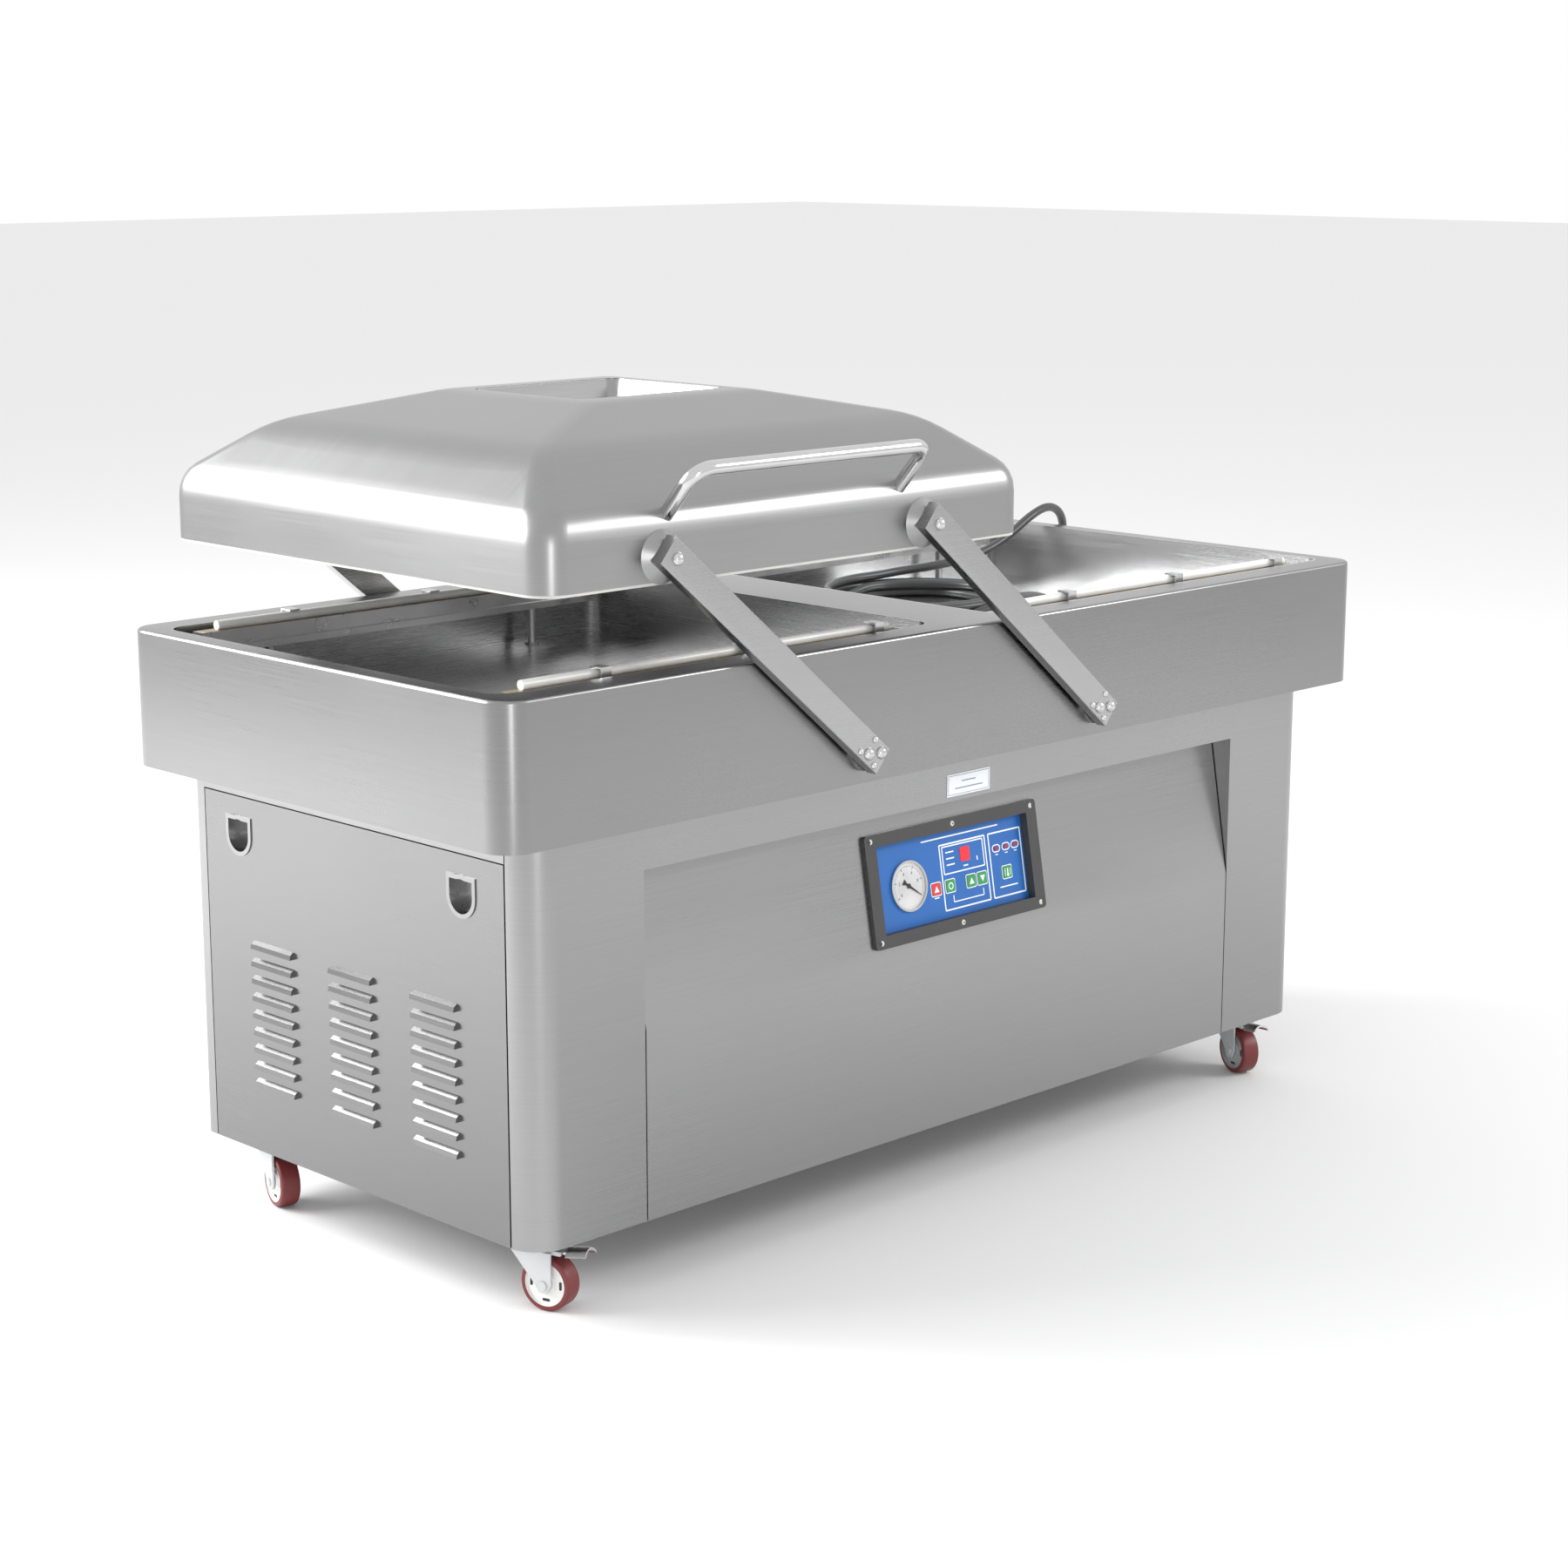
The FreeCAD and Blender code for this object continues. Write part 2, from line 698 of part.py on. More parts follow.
def lid_pads():
    """Silicone counter strips that the seal bars press against, on brackets from the long walls."""
    swing = arm_length * math.sin(math.radians(closed_angle))
    half = seal_length / 2 + chamber_x - swing + abs(lid_offset)
    low = 2 * rod_radius + clip_sheet - seal_top_below_rim + seal_travel + 1.5
    pieces = []
    for facing in (-1, 1):
        y0, y1 = sorted((facing * (seal_y() - pad_width / 2), facing * (seal_y() + pad_width / 2)))
        pad = box(-half, half, y0, y1, low, low + pad_height)
        wall = lid_depth / 2 - lid_sheet
        brackets = []
        for x in (-300, 0, 300):
            b0, b1 = sorted((facing * (seal_y() - pad_width / 2), facing * wall))
            brackets.append(box(x - 15, x + 15, b0, b1, low + pad_height, low + pad_height + 4))
        pieces.append(fused([pad] + brackets))
    return placed_lid(joined(pieces))


def lid_handle():
    """U of round tube that stands out from the front bend of the lid."""
    half = handle_span / 2
    r = handle_bend
    reach = handle_reach
    start = -12
    diagonal = r * (1 - math.sqrt(0.5))
    points = [Vector(-half, 0, start), Vector(-half, 0, reach - r),
              Vector(-half + diagonal, 0, reach - diagonal), Vector(-half + r, 0, reach),
              Vector(half - r, 0, reach), Vector(half - diagonal, 0, reach - diagonal),
              Vector(half, 0, reach - r), Vector(half, 0, start)]
    edges = [Part.LineSegment(points[0], points[1]).toShape(),
             Part.Arc(points[1], points[2], points[3]).toShape(),
             Part.LineSegment(points[3], points[4]).toShape(),
             Part.Arc(points[4], points[5], points[6]).toShape(),
             Part.LineSegment(points[6], points[7]).toShape()]
    ring = Part.Wire([Part.makeCircle(handle_tube / 2, points[0], UP)])
    bar = Part.Wire(edges).makePipeShell([ring], True, True)
    bar = turned(bar, handle_tilt, Vector(1, 0, 0))
    foot_y = -lid_depth / 2 + 3
    foot_z = gasket_thickness + lid_wall - 1
    bar = moved(bar, x=handle_offset, y=foot_y, z=foot_z)
    return placed_lid(bar.cut(loft(lid_rings(0, 0))))


# ---------------------------------------------------------------- arms and shafts
def arm(side, facing):
    """Flat bar from a shaft end up to the lid, leaning to the left at rest."""
    w = arm_width / 2
    y0, y1 = sorted((facing * arm_inner, facing * arm_outer))
    bar = box(-w, w, y0, y1, -arm_lower_end, arm_length + arm_upper_end)
    long_edges = [e for e in bar.Edges if e.Length > arm_length]
    bar = bar.makeFillet(1.5, long_edges)
    inner = Vector(0, facing * arm_inner, 0)
    out = Vector(0, facing, 0)
    bar = bar.cut(cylinder(spigot_radius, arm_thickness - 3, inner, out))
    reach = half_depth + arm_gap - lid_depth / 2 + lid_sheet + 6
    pin = cylinder(pivot_radius, reach, inner + UP * arm_length, out * -1)
    outer = Vector(0, facing * arm_outer, 0)
    heads = [dome(6, 3.5, outer + UP * arm_length, out)]
    for across, up in ((-5.9, 8.1), (5.9, -8.1)):
        heads.append(dome(7, pivot_head, outer + Vector(across, 0, up), out))
    for across, up in ((-12, -7), (-11, 21), (12, 10)):
        heads.append(dome(3.5, 2, outer + Vector(across, 0, up), out))
    whole = fused([bar, pin] + heads)
    whole = turned(whole, -arm_rest_angle, Vector(0, 1, 0))
    return moved(whole, x=shaft_x[side], z=shaft_z)


def lever_end(side):
    return Vector(shaft_x[side] + lever_length * math.sin(rest), 0,
                  shaft_z - lever_length * math.cos(rest))


def shaft(side):
    """Through shaft that ties a front and a rear arm together, with the spring lever at its middle."""
    along = Vector(0, 1, 0)
    length = 2 * arm_inner
    body = cylinder(shaft_radius, length, Vector(0, -arm_inner, 0), along)
    spigot = arm_thickness - 3
    ends = cylinder(spigot_radius, length + 2 * spigot, Vector(0, -arm_inner - spigot, 0), along)
    w = lever_width / 2
    near = spring_radius + 1
    far = near + lever_thickness
    lever = box(-w, w, near, far, -lever_length - w, 0)
    pin = cylinder(spring_pin, far + 4, Vector(0, far, -lever_length), along * -1)
    whole = turned(fused([body, ends, lever, pin]), -arm_rest_angle, along)
    return moved(whole, x=shaft_x[side], z=shaft_z)


def spring_anchor(side):
    return Vector(shaft_x[side], 0, cabinet_base + tray_sheet + spring_anchor_height - 8)


def counter_spring(side):
    """Counterbalance spring, drawn as its envelope, with an eye round each pin."""
    low = spring_anchor(side)
    high = lever_end(side)
    length = (high - low).Length
    eye = spring_pin + 3
    eyes = [Part.makeTorus(eye, 1.5, Vector(0, 0, z), Vector(0, 1, 0)) for z in (0, length)]
    coil_low = eye + 8
    coil = tube(spring_radius, spring_radius - spring_wall, length - 2 * coil_low,
                Vector(0, 0, coil_low))
    caps = [cylinder(spring_radius, 3, Vector(0, 0, z)) for z in (coil_low - 3, length - coil_low)]
    rods = [cylinder(1.5, coil_low - eye - 1, Vector(0, 0, z)) for z in (eye, length - coil_low + 1)]
    whole = fused(eyes + [coil] + caps + rods)
    lean = math.degrees(math.atan2(high.x - low.x, high.z - low.z))
    return moved(turned(whole, lean, Vector(0, 1, 0)), x=low.x, y=low.y, z=low.z)


# ---------------------------------------------------------------- control panel
def on_cover(shape):
    """Carry a shape from panel axes (x right, z up the slope, -y outwards) to the sloping cover."""
    tilted = turned(shape, -cover_angle, Vector(1, 0, 0))
    return moved(tilted, y=-cabinet_y, z=cover_fold)


def opening_half():
    return panel_width / 2 - bezel_side


def panel_bezel():
    high = panel_low + panel_height
    half = panel_width / 2
    flat = box(-half, half, -bezel_proud, 0, panel_low, high)
    corners = [e for e in flat.Edges if abs(e.BoundBox.YLength - bezel_proud) < 0.01
               and e.BoundBox.ZLength < 0.01]
    flat = flat.makeFillet(5, corners)
    inner = opening_half()
    neck = box(-inner - 4, inner + 4, 0, panel_recess, panel_low + bezel_end - 4,
               high - bezel_end + 4)
    mouth = box(-inner, inner, -bezel_proud - 1, panel_recess + 1, panel_low + bezel_end,
                high - bezel_end)
    frame = flat.fuse(neck).cut(mouth)
    screws = []
    for x in (-half + 8, 0, half - 8):
        for z in (panel_low + 7.5, high - 7.5):
            screws.append(dome(3.2, 1.4, Vector(x, -bezel_proud, z), FRONT))
    return on_cover(fused([frame] + screws))


def button_places():
    """Button name to (x, height up the slope), in panel axes."""
    row = panel_low + 52
    return {"button_stop": (-29.0, row), "button_set": (-4.0, row), "button_up": (33.0, row),
            "button_down": (52.5, row), "button_heat": (98.0, row)}


def panel_plate():
    inner = opening_half()
    z0 = panel_low + bezel_end - 4
    z1 = panel_low + panel_height - bezel_end + 4
    plate = box(-inner - 4, inner + 4, panel_recess, panel_recess + panel_plate_thickness, z0, z1)
    plate = plate.cut(cylinder(gauge_radius, 20, Vector(gauge_x, panel_recess - 1, gauge_up),
                               Vector(0, 1, 0)))
    for x, z in button_places().values():
        half_w = button_width / 2 + button_gap
        half_h = button_height / 2 + button_gap
        plate = plate.cut(box(x - half_w, x + half_w, 0, 20, z - half_h, z + half_h))
    return on_cover(plate)


def button(name):
    x, z = button_places()[name]
    half_w = button_width / 2
    half_h = button_height / 2
    cap = box(x - half_w, x + half_w, panel_recess - button_proud,
              panel_recess + panel_plate_thickness, z - half_h, z + half_h)
    corners = [e for e in cap.Edges if e.BoundBox.YLength > 1]
    return on_cover(cap.makeFillet(2, corners))


def vacuum_gauge():
    centre = Vector(gauge_x, panel_recess + 28, gauge_up)
    body = cylinder(gauge_radius, 30.5, centre, FRONT)
    dish = cylinder(gauge_radius - 2, 2.0, Vector(gauge_x, panel_recess - 0.5, gauge_up), FRONT)
    stem = cylinder(6, 22, centre, Vector(0, 1, 0))
    hole = cylinder(1.5 + running_clearance, 4, Vector(gauge_x, panel_recess + 3, gauge_up), FRONT)
    return on_cover(body.cut(dish).cut(hole).fuse(stem))


def gauge_needle():
    y = panel_recess - 1.6
    hub = cylinder(3, 0.8, Vector(gauge_x, y, gauge_up), Vector(0, 1, 0))
    pin = cylinder(1.5, 3, Vector(gauge_x, y, gauge_up), Vector(0, 1, 0))
    outline = [(25, y, 0), (3, y, 1.3), (-5, y, 1.3), (-10, y, 3.5), (-10, y, -3.5),
               (-5, y, -1.3), (3, y, -1.3)]
    pointer = prism(outline, (0, 0.8, 0))
    pointer = turned(pointer, -needle_angle, Vector(0, 1, 0))
    return on_cover(fused([moved(pointer, x=gauge_x, z=gauge_up), hub, pin]))


def display_window():
    w = display_width / 2
    h = display_height / 2
    return on_cover(box(display_x - w, display_x + w, panel_recess - display_proud, panel_recess,
                        display_up - h, display_up + h))


def nameplate():
    high = cabinet_top - 23
    return box(-32, 42.5, -cabinet_y - 0.8, -cabinet_y, high - 26.5, high)


# ---------------------------------------------------------------- casters
def caster_places():
    return [(sx * caster_x, sy * caster_y) for sx in (-1, 1) for sy in (-1, 1)]


# Name to (x sign, y sign, heading of the trailing wheel in degrees from +X).
casters = {"front_left": (-1, -1, -72.8), "front_right": (1, -1, -108.9),
           "rear_left": (-1, 1, -105.2), "rear_right": (1, 1, -78.0)}


def placed_caster(name, shape):
    sx, sy, heading = casters[name]
    return moved(turned(shape, heading, UP), x=sx * caster_x, y=sy * caster_y)


def caster_fork(name):
    """Swivel race, bent fork and axle; the wheel trails along local +X."""
    plate_z = 66.0
    race = cylinder(20, cabinet_base - 3.3 - plate_z, Vector(0, 0, plate_z))
    race = race.cut(cylinder(7 + running_clearance, 20, Vector(0, 0, cabinet_base - 14.3)))
    inner = wheel_width / 2 + 1.5
    top = box(-20, 30, -inner - fork_sheet, inner + fork_sheet, plate_z, plate_z + fork_sheet)
    leg_outline = [(-20, plate_z), (30, plate_z), (caster_trail + 10, wheel_radius),
                   (caster_trail + 5, wheel_radius - 9), (caster_trail - 5, wheel_radius - 9),
                   (caster_trail - 10, wheel_radius)]
    pieces = [race, top]
    for y in (-inner - fork_sheet, inner):
        pieces.append(prism([(x, y, z) for x, z in leg_outline], (0, fork_sheet, 0)))
    along = Vector(0, 1, 0)
    reach = inner + fork_sheet + 2
    pieces.append(cylinder(axle_radius, 2 * reach, Vector(caster_trail, -reach, wheel_radius),
                           along))
    if name.startswith("front"):
        for y in (-pedal_half - 3.5, pedal_half + 0.5):
            ear = [(26, plate_z), (40, plate_z), (40, 70.5), (26, 70.5)]
            pieces.append(prism([(x, y, z) for x, z in ear], (0, 3, 0)))
        pieces.append(box(26, 30, -pedal_half - 3.5, pedal_half + 3.5, plate_z,
                          plate_z + fork_sheet))
        span = 2 * pedal_half + 7
        pieces.append(cylinder(2, span, Vector(pedal_pivot_x, -span / 2, pedal_pivot_z), along))
    return placed_caster(name, fused(pieces))


def brake_pedal(name):
    """Curved foot tab that rises outwards from the fork; pressing its tip locks the wheel."""
    along = Vector(0, 1, 0)
    hub = cylinder(3.6, 2 * pedal_half, Vector(0, -pedal_half, 0), along)
    neck = box(0, 14, -pedal_half, pedal_half, -1.2, 1.2)
    radius = 13.0
    arch = tube(radius, radius - 2.2, 26, Vector(10, 0, -8), Vector(1, 0, 0))
    arch = arch.common(box(9, 37, -radius, radius, -3.5, 6))
    pedal = fused([hub, neck, arch])
    pedal = pedal.cut(cylinder(2 + running_clearance, 2 * pedal_half,
                               Vector(0, -pedal_half, 0), along))
    pedal = turned(pedal, -8, along)
    return placed_caster(name, moved(pedal, x=pedal_pivot_x, z=pedal_pivot_z))


def caster_wheel(name):
    along = Vector(0, 1, 0)
    centre = Vector(caster_trail, -wheel_width / 2, wheel_radius)
    tyre = cylinder(wheel_radius, wheel_width, centre, along)
    tyre = tyre.makeFillet(3, [e for e in tyre.Edges if e.Closed])
    for side in (-1, 1):
        y = side * wheel_width / 2
        face = Vector(caster_trail, y, wheel_radius)
        ring = tube(wheel_radius - 6, 12, 3, face, Vector(0, -side, 0))
        tyre = tyre.cut(ring)
    bore = cylinder(axle_radius + running_clearance, wheel_width, centre, along)
    return placed_caster(name, tyre.cut(bore))


# ---------------------------------------------------------------- machinery inside the cabinet
def vacuum_pump():
    """Rotary vane pump with its motor, oil box and suction flange."""
    low = cabinet_base + tray_sheet
    along = Vector(1, 0, 0)
    feet = box(-590, -250, -90, 90, low, low + 12)
    motor = cylinder(75, 170, Vector(-590, 0, low + 90), along)
    fins = [cylinder(80, 4, Vector(-575 + 18 * i, 0, low + 90), along) for i in range(8)]
    block = box(-420, -330, -85, 85, low + 10, low + 180)
    oil_box = box(-330, -255, -95, 95, low + 10, low + 215)
    suction = cylinder(22, 40, Vector(-375, 0, low + 180))
    return fused([feet, motor, block, oil_box, suction] + fins)


def transformer():
    low = cabinet_base + tray_sheet
    core = box(320, 440, 60, 160, low, low + 100)
    winding = box(335, 425, 45, 175, low + 22, low + 78)
    return fused([core, winding])


def valve_block():
    """Manifold with solenoid valves and the pipe up to the chambers."""
    low = cabinet_base + tray_sheet
    stand = box(-40, 90, 150, 200, low, low + 120)
    manifold = box(-90, 140, 140, 210, low + 120, low + 160)
    coils = [cylinder(20, 48, Vector(x, 175, low + 160)) for x in (-60, 110)]
    riser = cylinder(16, chamber_floor - pan_sheet - low - 160 - 90, Vector(25, 175, low + 160))
    return fused([stand, manifold, riser] + coils)


# ---------------------------------------------------------------- power cord


def cord_points():
    """Route from the gland, out behind the tank, over the right rim and down on to the coil."""
    crest = tank_top + 26
    y = cord_crossing_y
    back = cabinet_y + gland_length
    return [(gland_x, back, gland_z),
            (gland_x, back + 52, gland_z),
            (gland_x + 34, back + 98, gland_z + 15),
            (gland_x + 90, back + 106, gland_z + 54),
            (half_length + 14, back + 84, gland_z + 110),
            (half_length + 52, back + 24, gland_z + 178),
            (half_length + 66, y + 80, gland_z + 246),
            (half_length + 64, y + 24, crest - 70),
            (half_length + 44, y + 6, crest - 20),
            (half_length + 8, y, crest),
            (half_length - 38, y - 4, crest - 10),
            (half_length - 90, y - 7, crest - 36),
            (half_length - 155, y - 10, crest - 56),
            (coil_x + 135, coil_y + 80, coil_top() + 4),
            (coil_x + 82, coil_y + 104, coil_top() - 1)]


def coil_top():
    return chamber_floor + coil_height


def cord_path(points):
    """Straight runs joined by tangent arcs, each as large as its two runs allow."""
    vectors = [Vector(*p) for p in points]
    edges = []
    radii = []
    start = vectors[0]
    for before, corner, after in zip(vectors, vectors[1:], vectors[2:]):
        first = (before - corner).normalize()
        second = (after - corner).normalize()
        turn = math.pi - first.getAngle(second)
        shorter = min((before - corner).Length, (after - corner).Length)
        radius = 0.45 * shorter / math.tan(turn / 2)
        reach = 0.45 * shorter
        enter = corner + first * reach
        leave = corner + second * reach
        inside = (first + second).normalize()
        centre_gap = radius / math.cos(turn / 2)
        middle = corner + inside * (centre_gap - radius)
        edges.append(Part.LineSegment(start, enter).toShape())
        edges.append(Part.Arc(enter, middle, leave).toShape())
        radii.append((round(radius), round(math.degrees(turn))))
        start = leave
    edges.append(Part.LineSegment(start, vectors[-1]).toShape())
    return Part.Wire(edges), radii


def power_cord():
    path, radii = cord_path(cord_points())
    first = path.Edges[0]
    ring = Part.Wire([Part.makeCircle(cord_diameter / 2, first.Vertexes[0].Point,
                                      first.tangentAt(first.FirstParameter))])
    solid = path.makePipeShell([ring], True, False)
    ideal = math.pi * cord_diameter ** 2 / 4 * path.Length
    print("cord radii and turns", radii)
    print("cord length", round(path.Length), "volume ratio", round(solid.Volume / ideal, 4))
    return solid


def oval_prism(half_x, half_y, z0, z1):
    oval = Part.Ellipse(Vector(coil_x, coil_y, z0), half_x, half_y).toShape()
    return Part.Face(Part.Wire([oval])).extrude(Vector(0, 0, z1 - z0))


def cord_coil():
    """Outer shape of the loose oval coil that lies on the right chamber's floor."""
    low = chamber_floor + 0.3
    ring = oval_prism(coil_half_x, coil_half_y, low, coil_top())
    return ring.cut(oval_prism(coil_half_x - coil_ring, coil_half_y - coil_ring, low, coil_top()))


def power_plug():
    """Moulded plug at the free end; its cord leaves the coil's outermost strand at a tangent."""
    half_x = coil_half_x - cord_diameter / 2
    half_y = coil_half_y - cord_diameter / 2
    turn = math.radians(coil_exit_angle)
    leave = Vector(coil_x + half_x * math.cos(turn), coil_y + half_y * math.sin(turn),
                   chamber_floor + 0.3)
    heading = math.degrees(math.atan2(half_y * math.cos(turn), -half_x * math.sin(turn)))
    start = plug_run + plug_boot
    middle_z = plug_height / 2
    along = Vector(1, 0, 0)
    half = plug_width / 2
    body = box(start, start + plug_length, -half, half, 0, plug_height)
    body = body.makeFillet(7, [e for e in body.Edges if abs(e.Length - plug_height) < 1])
    boot = cylinder(cord_diameter / 2 + 1.5, plug_boot + 8, Vector(plug_run, 0, middle_z), along)
    pins = [cylinder(plug_pin, plug_pin_length,
                     Vector(start + plug_length, side * plug_pin_spacing / 2, middle_z), along)
            for side in (-1, 1)]
    plug = fused([body, boot] + pins)
    plug.rotate(Vector(0, 0, 0), UP, heading)
    plug.translate(leave)
    return plug


def cord_gland():
    along = Vector(0, 1, 0)
    base = Vector(gland_x, cabinet_y - 8, gland_z)
    barrel = cylinder(gland_radius, 8 + gland_length, base, along)
    nut = cylinder(15, 10, Vector(gland_x, cabinet_y, gland_z), along)
    back = cylinder(15, 5, Vector(gland_x, cabinet_y - cabinet_sheet - 5, gland_z), along)
    return fused([barrel, nut, back])


# ---------------------------------------------------------------- nodes
def nodes():
    parts = {"tank_shell": tank_shell()}
    for name, side in (("left", -1), ("right", 1)):
        parts["chamber_pan_" + name] = chamber_pan(side)
        parts["seal_bar_front_" + name] = seal_bar(side, -1)
        parts["seal_bar_rear_" + name] = seal_bar(side, 1)
        parts["clamp_rods_" + name] = clamp_rods(side)
        parts["corner_post_" + name] = corner_post(side)
        parts["side_panel_" + name] = side_panel(side)
        parts["pull_cups_" + name] = pull_cups(side)
        parts["arm_front_" + name] = arm(name, -1)
        parts["arm_rear_" + name] = arm(name, 1)
        parts["shaft_" + name] = shaft(name)
        parts["counter_spring_" + name] = counter_spring(name)
    for maker in (cabinet_frame, front_cover, rear_panel, lid_shell, lid_window, lid_window_frame,
                  lid_gasket, lid_pads, lid_handle, panel_bezel, panel_plate, vacuum_gauge,
                  gauge_needle, display_window, nameplate, vacuum_pump, transformer, valve_block,
                  power_cord, cord_coil, power_plug, cord_gland):
        parts[maker.__name__] = maker()
    for name in button_places():
        parts[name] = button(name)
    for name in casters:
        parts["caster_fork_" + name] = caster_fork(name)
        parts["caster_wheel_" + name] = caster_wheel(name)
        if name.startswith("front"):
            parts["brake_pedal_" + name] = brake_pedal(name)
    return parts


def origin_shift():
    """Half the difference between how far the handle and the rear arms stand out."""
    handle_front = lid_depth / 2 - 3 + handle_reach * math.sin(math.radians(handle_tilt))
    handle_front += handle_tube / 2
    rear = arm_outer + pivot_head
    return (handle_front - rear) / 2


def main():
    os.makedirs("parts", exist_ok=True)
    parts = nodes()
    for name, shape in parts.items():
        moved(shape, y=origin_shift()).exportStep("parts/" + name + ".step")
    print(len(parts), "nodes; closed at", round(closed_angle, 3), "stopped at",
          round(stopped_angle, 3), "lid centre", round(lid_x, 2), "lid base", round(lid_z, 2))


main()
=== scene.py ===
"""Looks of the double-chamber vacuum packing machine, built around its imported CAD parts.

Metres, in the frame's own axes: +X along the machine, front at -Y, +Z up.
"""
import json
import math

import bpy
from mathutils import Matrix, Vector


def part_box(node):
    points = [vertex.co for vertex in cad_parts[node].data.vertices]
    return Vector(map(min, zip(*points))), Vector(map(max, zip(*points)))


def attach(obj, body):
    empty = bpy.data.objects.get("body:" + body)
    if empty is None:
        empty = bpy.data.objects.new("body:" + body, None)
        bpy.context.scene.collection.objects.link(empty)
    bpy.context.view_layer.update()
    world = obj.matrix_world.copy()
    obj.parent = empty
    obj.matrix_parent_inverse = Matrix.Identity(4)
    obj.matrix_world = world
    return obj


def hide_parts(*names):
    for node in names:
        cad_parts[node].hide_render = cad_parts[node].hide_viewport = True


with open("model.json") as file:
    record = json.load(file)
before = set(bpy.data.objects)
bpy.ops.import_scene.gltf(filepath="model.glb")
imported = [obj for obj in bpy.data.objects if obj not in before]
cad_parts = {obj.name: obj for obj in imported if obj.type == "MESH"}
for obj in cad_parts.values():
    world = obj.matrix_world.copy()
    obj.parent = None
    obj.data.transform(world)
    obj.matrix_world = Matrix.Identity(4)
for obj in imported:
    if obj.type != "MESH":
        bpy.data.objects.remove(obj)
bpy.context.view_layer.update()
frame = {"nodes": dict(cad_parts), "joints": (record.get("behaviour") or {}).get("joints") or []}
nodes = frame["nodes"]
joints = {joint["name"]: joint for joint in frame["joints"]}
MM = 0.001
UP = Vector((0, 0, 1))
tank_low, tank_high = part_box("tank_shell")
middle_y = (tank_low.y + tank_high.y) / 2


# ---------------------------------------------------------------- camera, floor and light
camera_lens = 71.91
camera_sensor = 36.0
camera_place = (-2.6907, middle_y - 2.7170, 1.2713)
camera_dip = 12.108
camera_turn = -44.711
floor_reach = 30.0
floor_tone = 0.82


def make_camera():
    """Front-left view, a little above the rim, 3.8 m from the machine."""
    data = bpy.data.cameras.new("camera")
    data.lens = camera_lens
    data.sensor_width = camera_sensor
    camera = bpy.data.objects.new("camera", data)
    camera.location = camera_place
    camera.rotation_euler = (math.radians(90 - camera_dip), 0, math.radians(camera_turn))
    bpy.context.scene.collection.objects.link(camera)
    bpy.context.scene.camera = camera


def area_light(name, place, target, size, watts):
    data = bpy.data.lights.new(name, "AREA")
    data.shape = "RECTANGLE"
    data.size, data.size_y = size
    data.energy = watts
    light = bpy.data.objects.new(name, data)
    light.location = place
    light.rotation_euler = (Vector(target) - Vector(place)).to_track_quat("-Z", "Y").to_euler()
    bpy.context.scene.collection.objects.link(light)


def make_studio():
    """White world, pale floor and four soft lights."""
    scene = bpy.context.scene
    scene.view_settings.view_transform = "Standard"
    world = bpy.data.worlds.new("studio")
    world.use_nodes = True
    background = world.node_tree.nodes["Background"]
    background.inputs["Color"].default_value = (1, 1, 1, 1)
    background.inputs["Strength"].default_value = 1.0
    scene.world = world
    corners = [(floor_reach * x, floor_reach * y, 0) for x, y in ((-1, -1), (1, -1), (1, 1), (-1, 1))]
    floor = new_object("floor", corners, [(0, 1, 2, 3)], plain("floor_pale", (floor_tone,) * 3, 0.9))
    middle = (0, 0, 0.6)
    area_light("back_left", (-3.0, 2.8, 2.0), middle, (3.0, 1.6), 165)
    area_light("front_right", (2.9, -2.9, 2.5), middle, (1.6, 1.0), 70)
    area_light("back_high", (-2.1, 2.8, 3.1), middle, (1.8, 1.0), 100)
    area_light("corner_strip", (-2.5, -4.0, 0.9), (-0.7, -0.3, 0.5), (0.4, 1.6), 22)


# ---------------------------------------------------------------- mesh helpers
smooth_bend = 35
closed_radius = 0.00001


def new_object(name, verts, faces, material):
    """A mesh object whose bends under smooth_bend degrees shade smooth."""
    mesh = bpy.data.meshes.new(name)
    mesh.from_pydata([tuple(v) for v in verts], [], faces)
    mesh.validate()
    mesh.update()
    mesh.shade_smooth()
    mesh.set_sharp_from_angle(angle=math.radians(smooth_bend))
    mesh.materials.append(material)
    made = bpy.data.objects.new(name, mesh)
    bpy.context.scene.collection.objects.link(made)
    return made


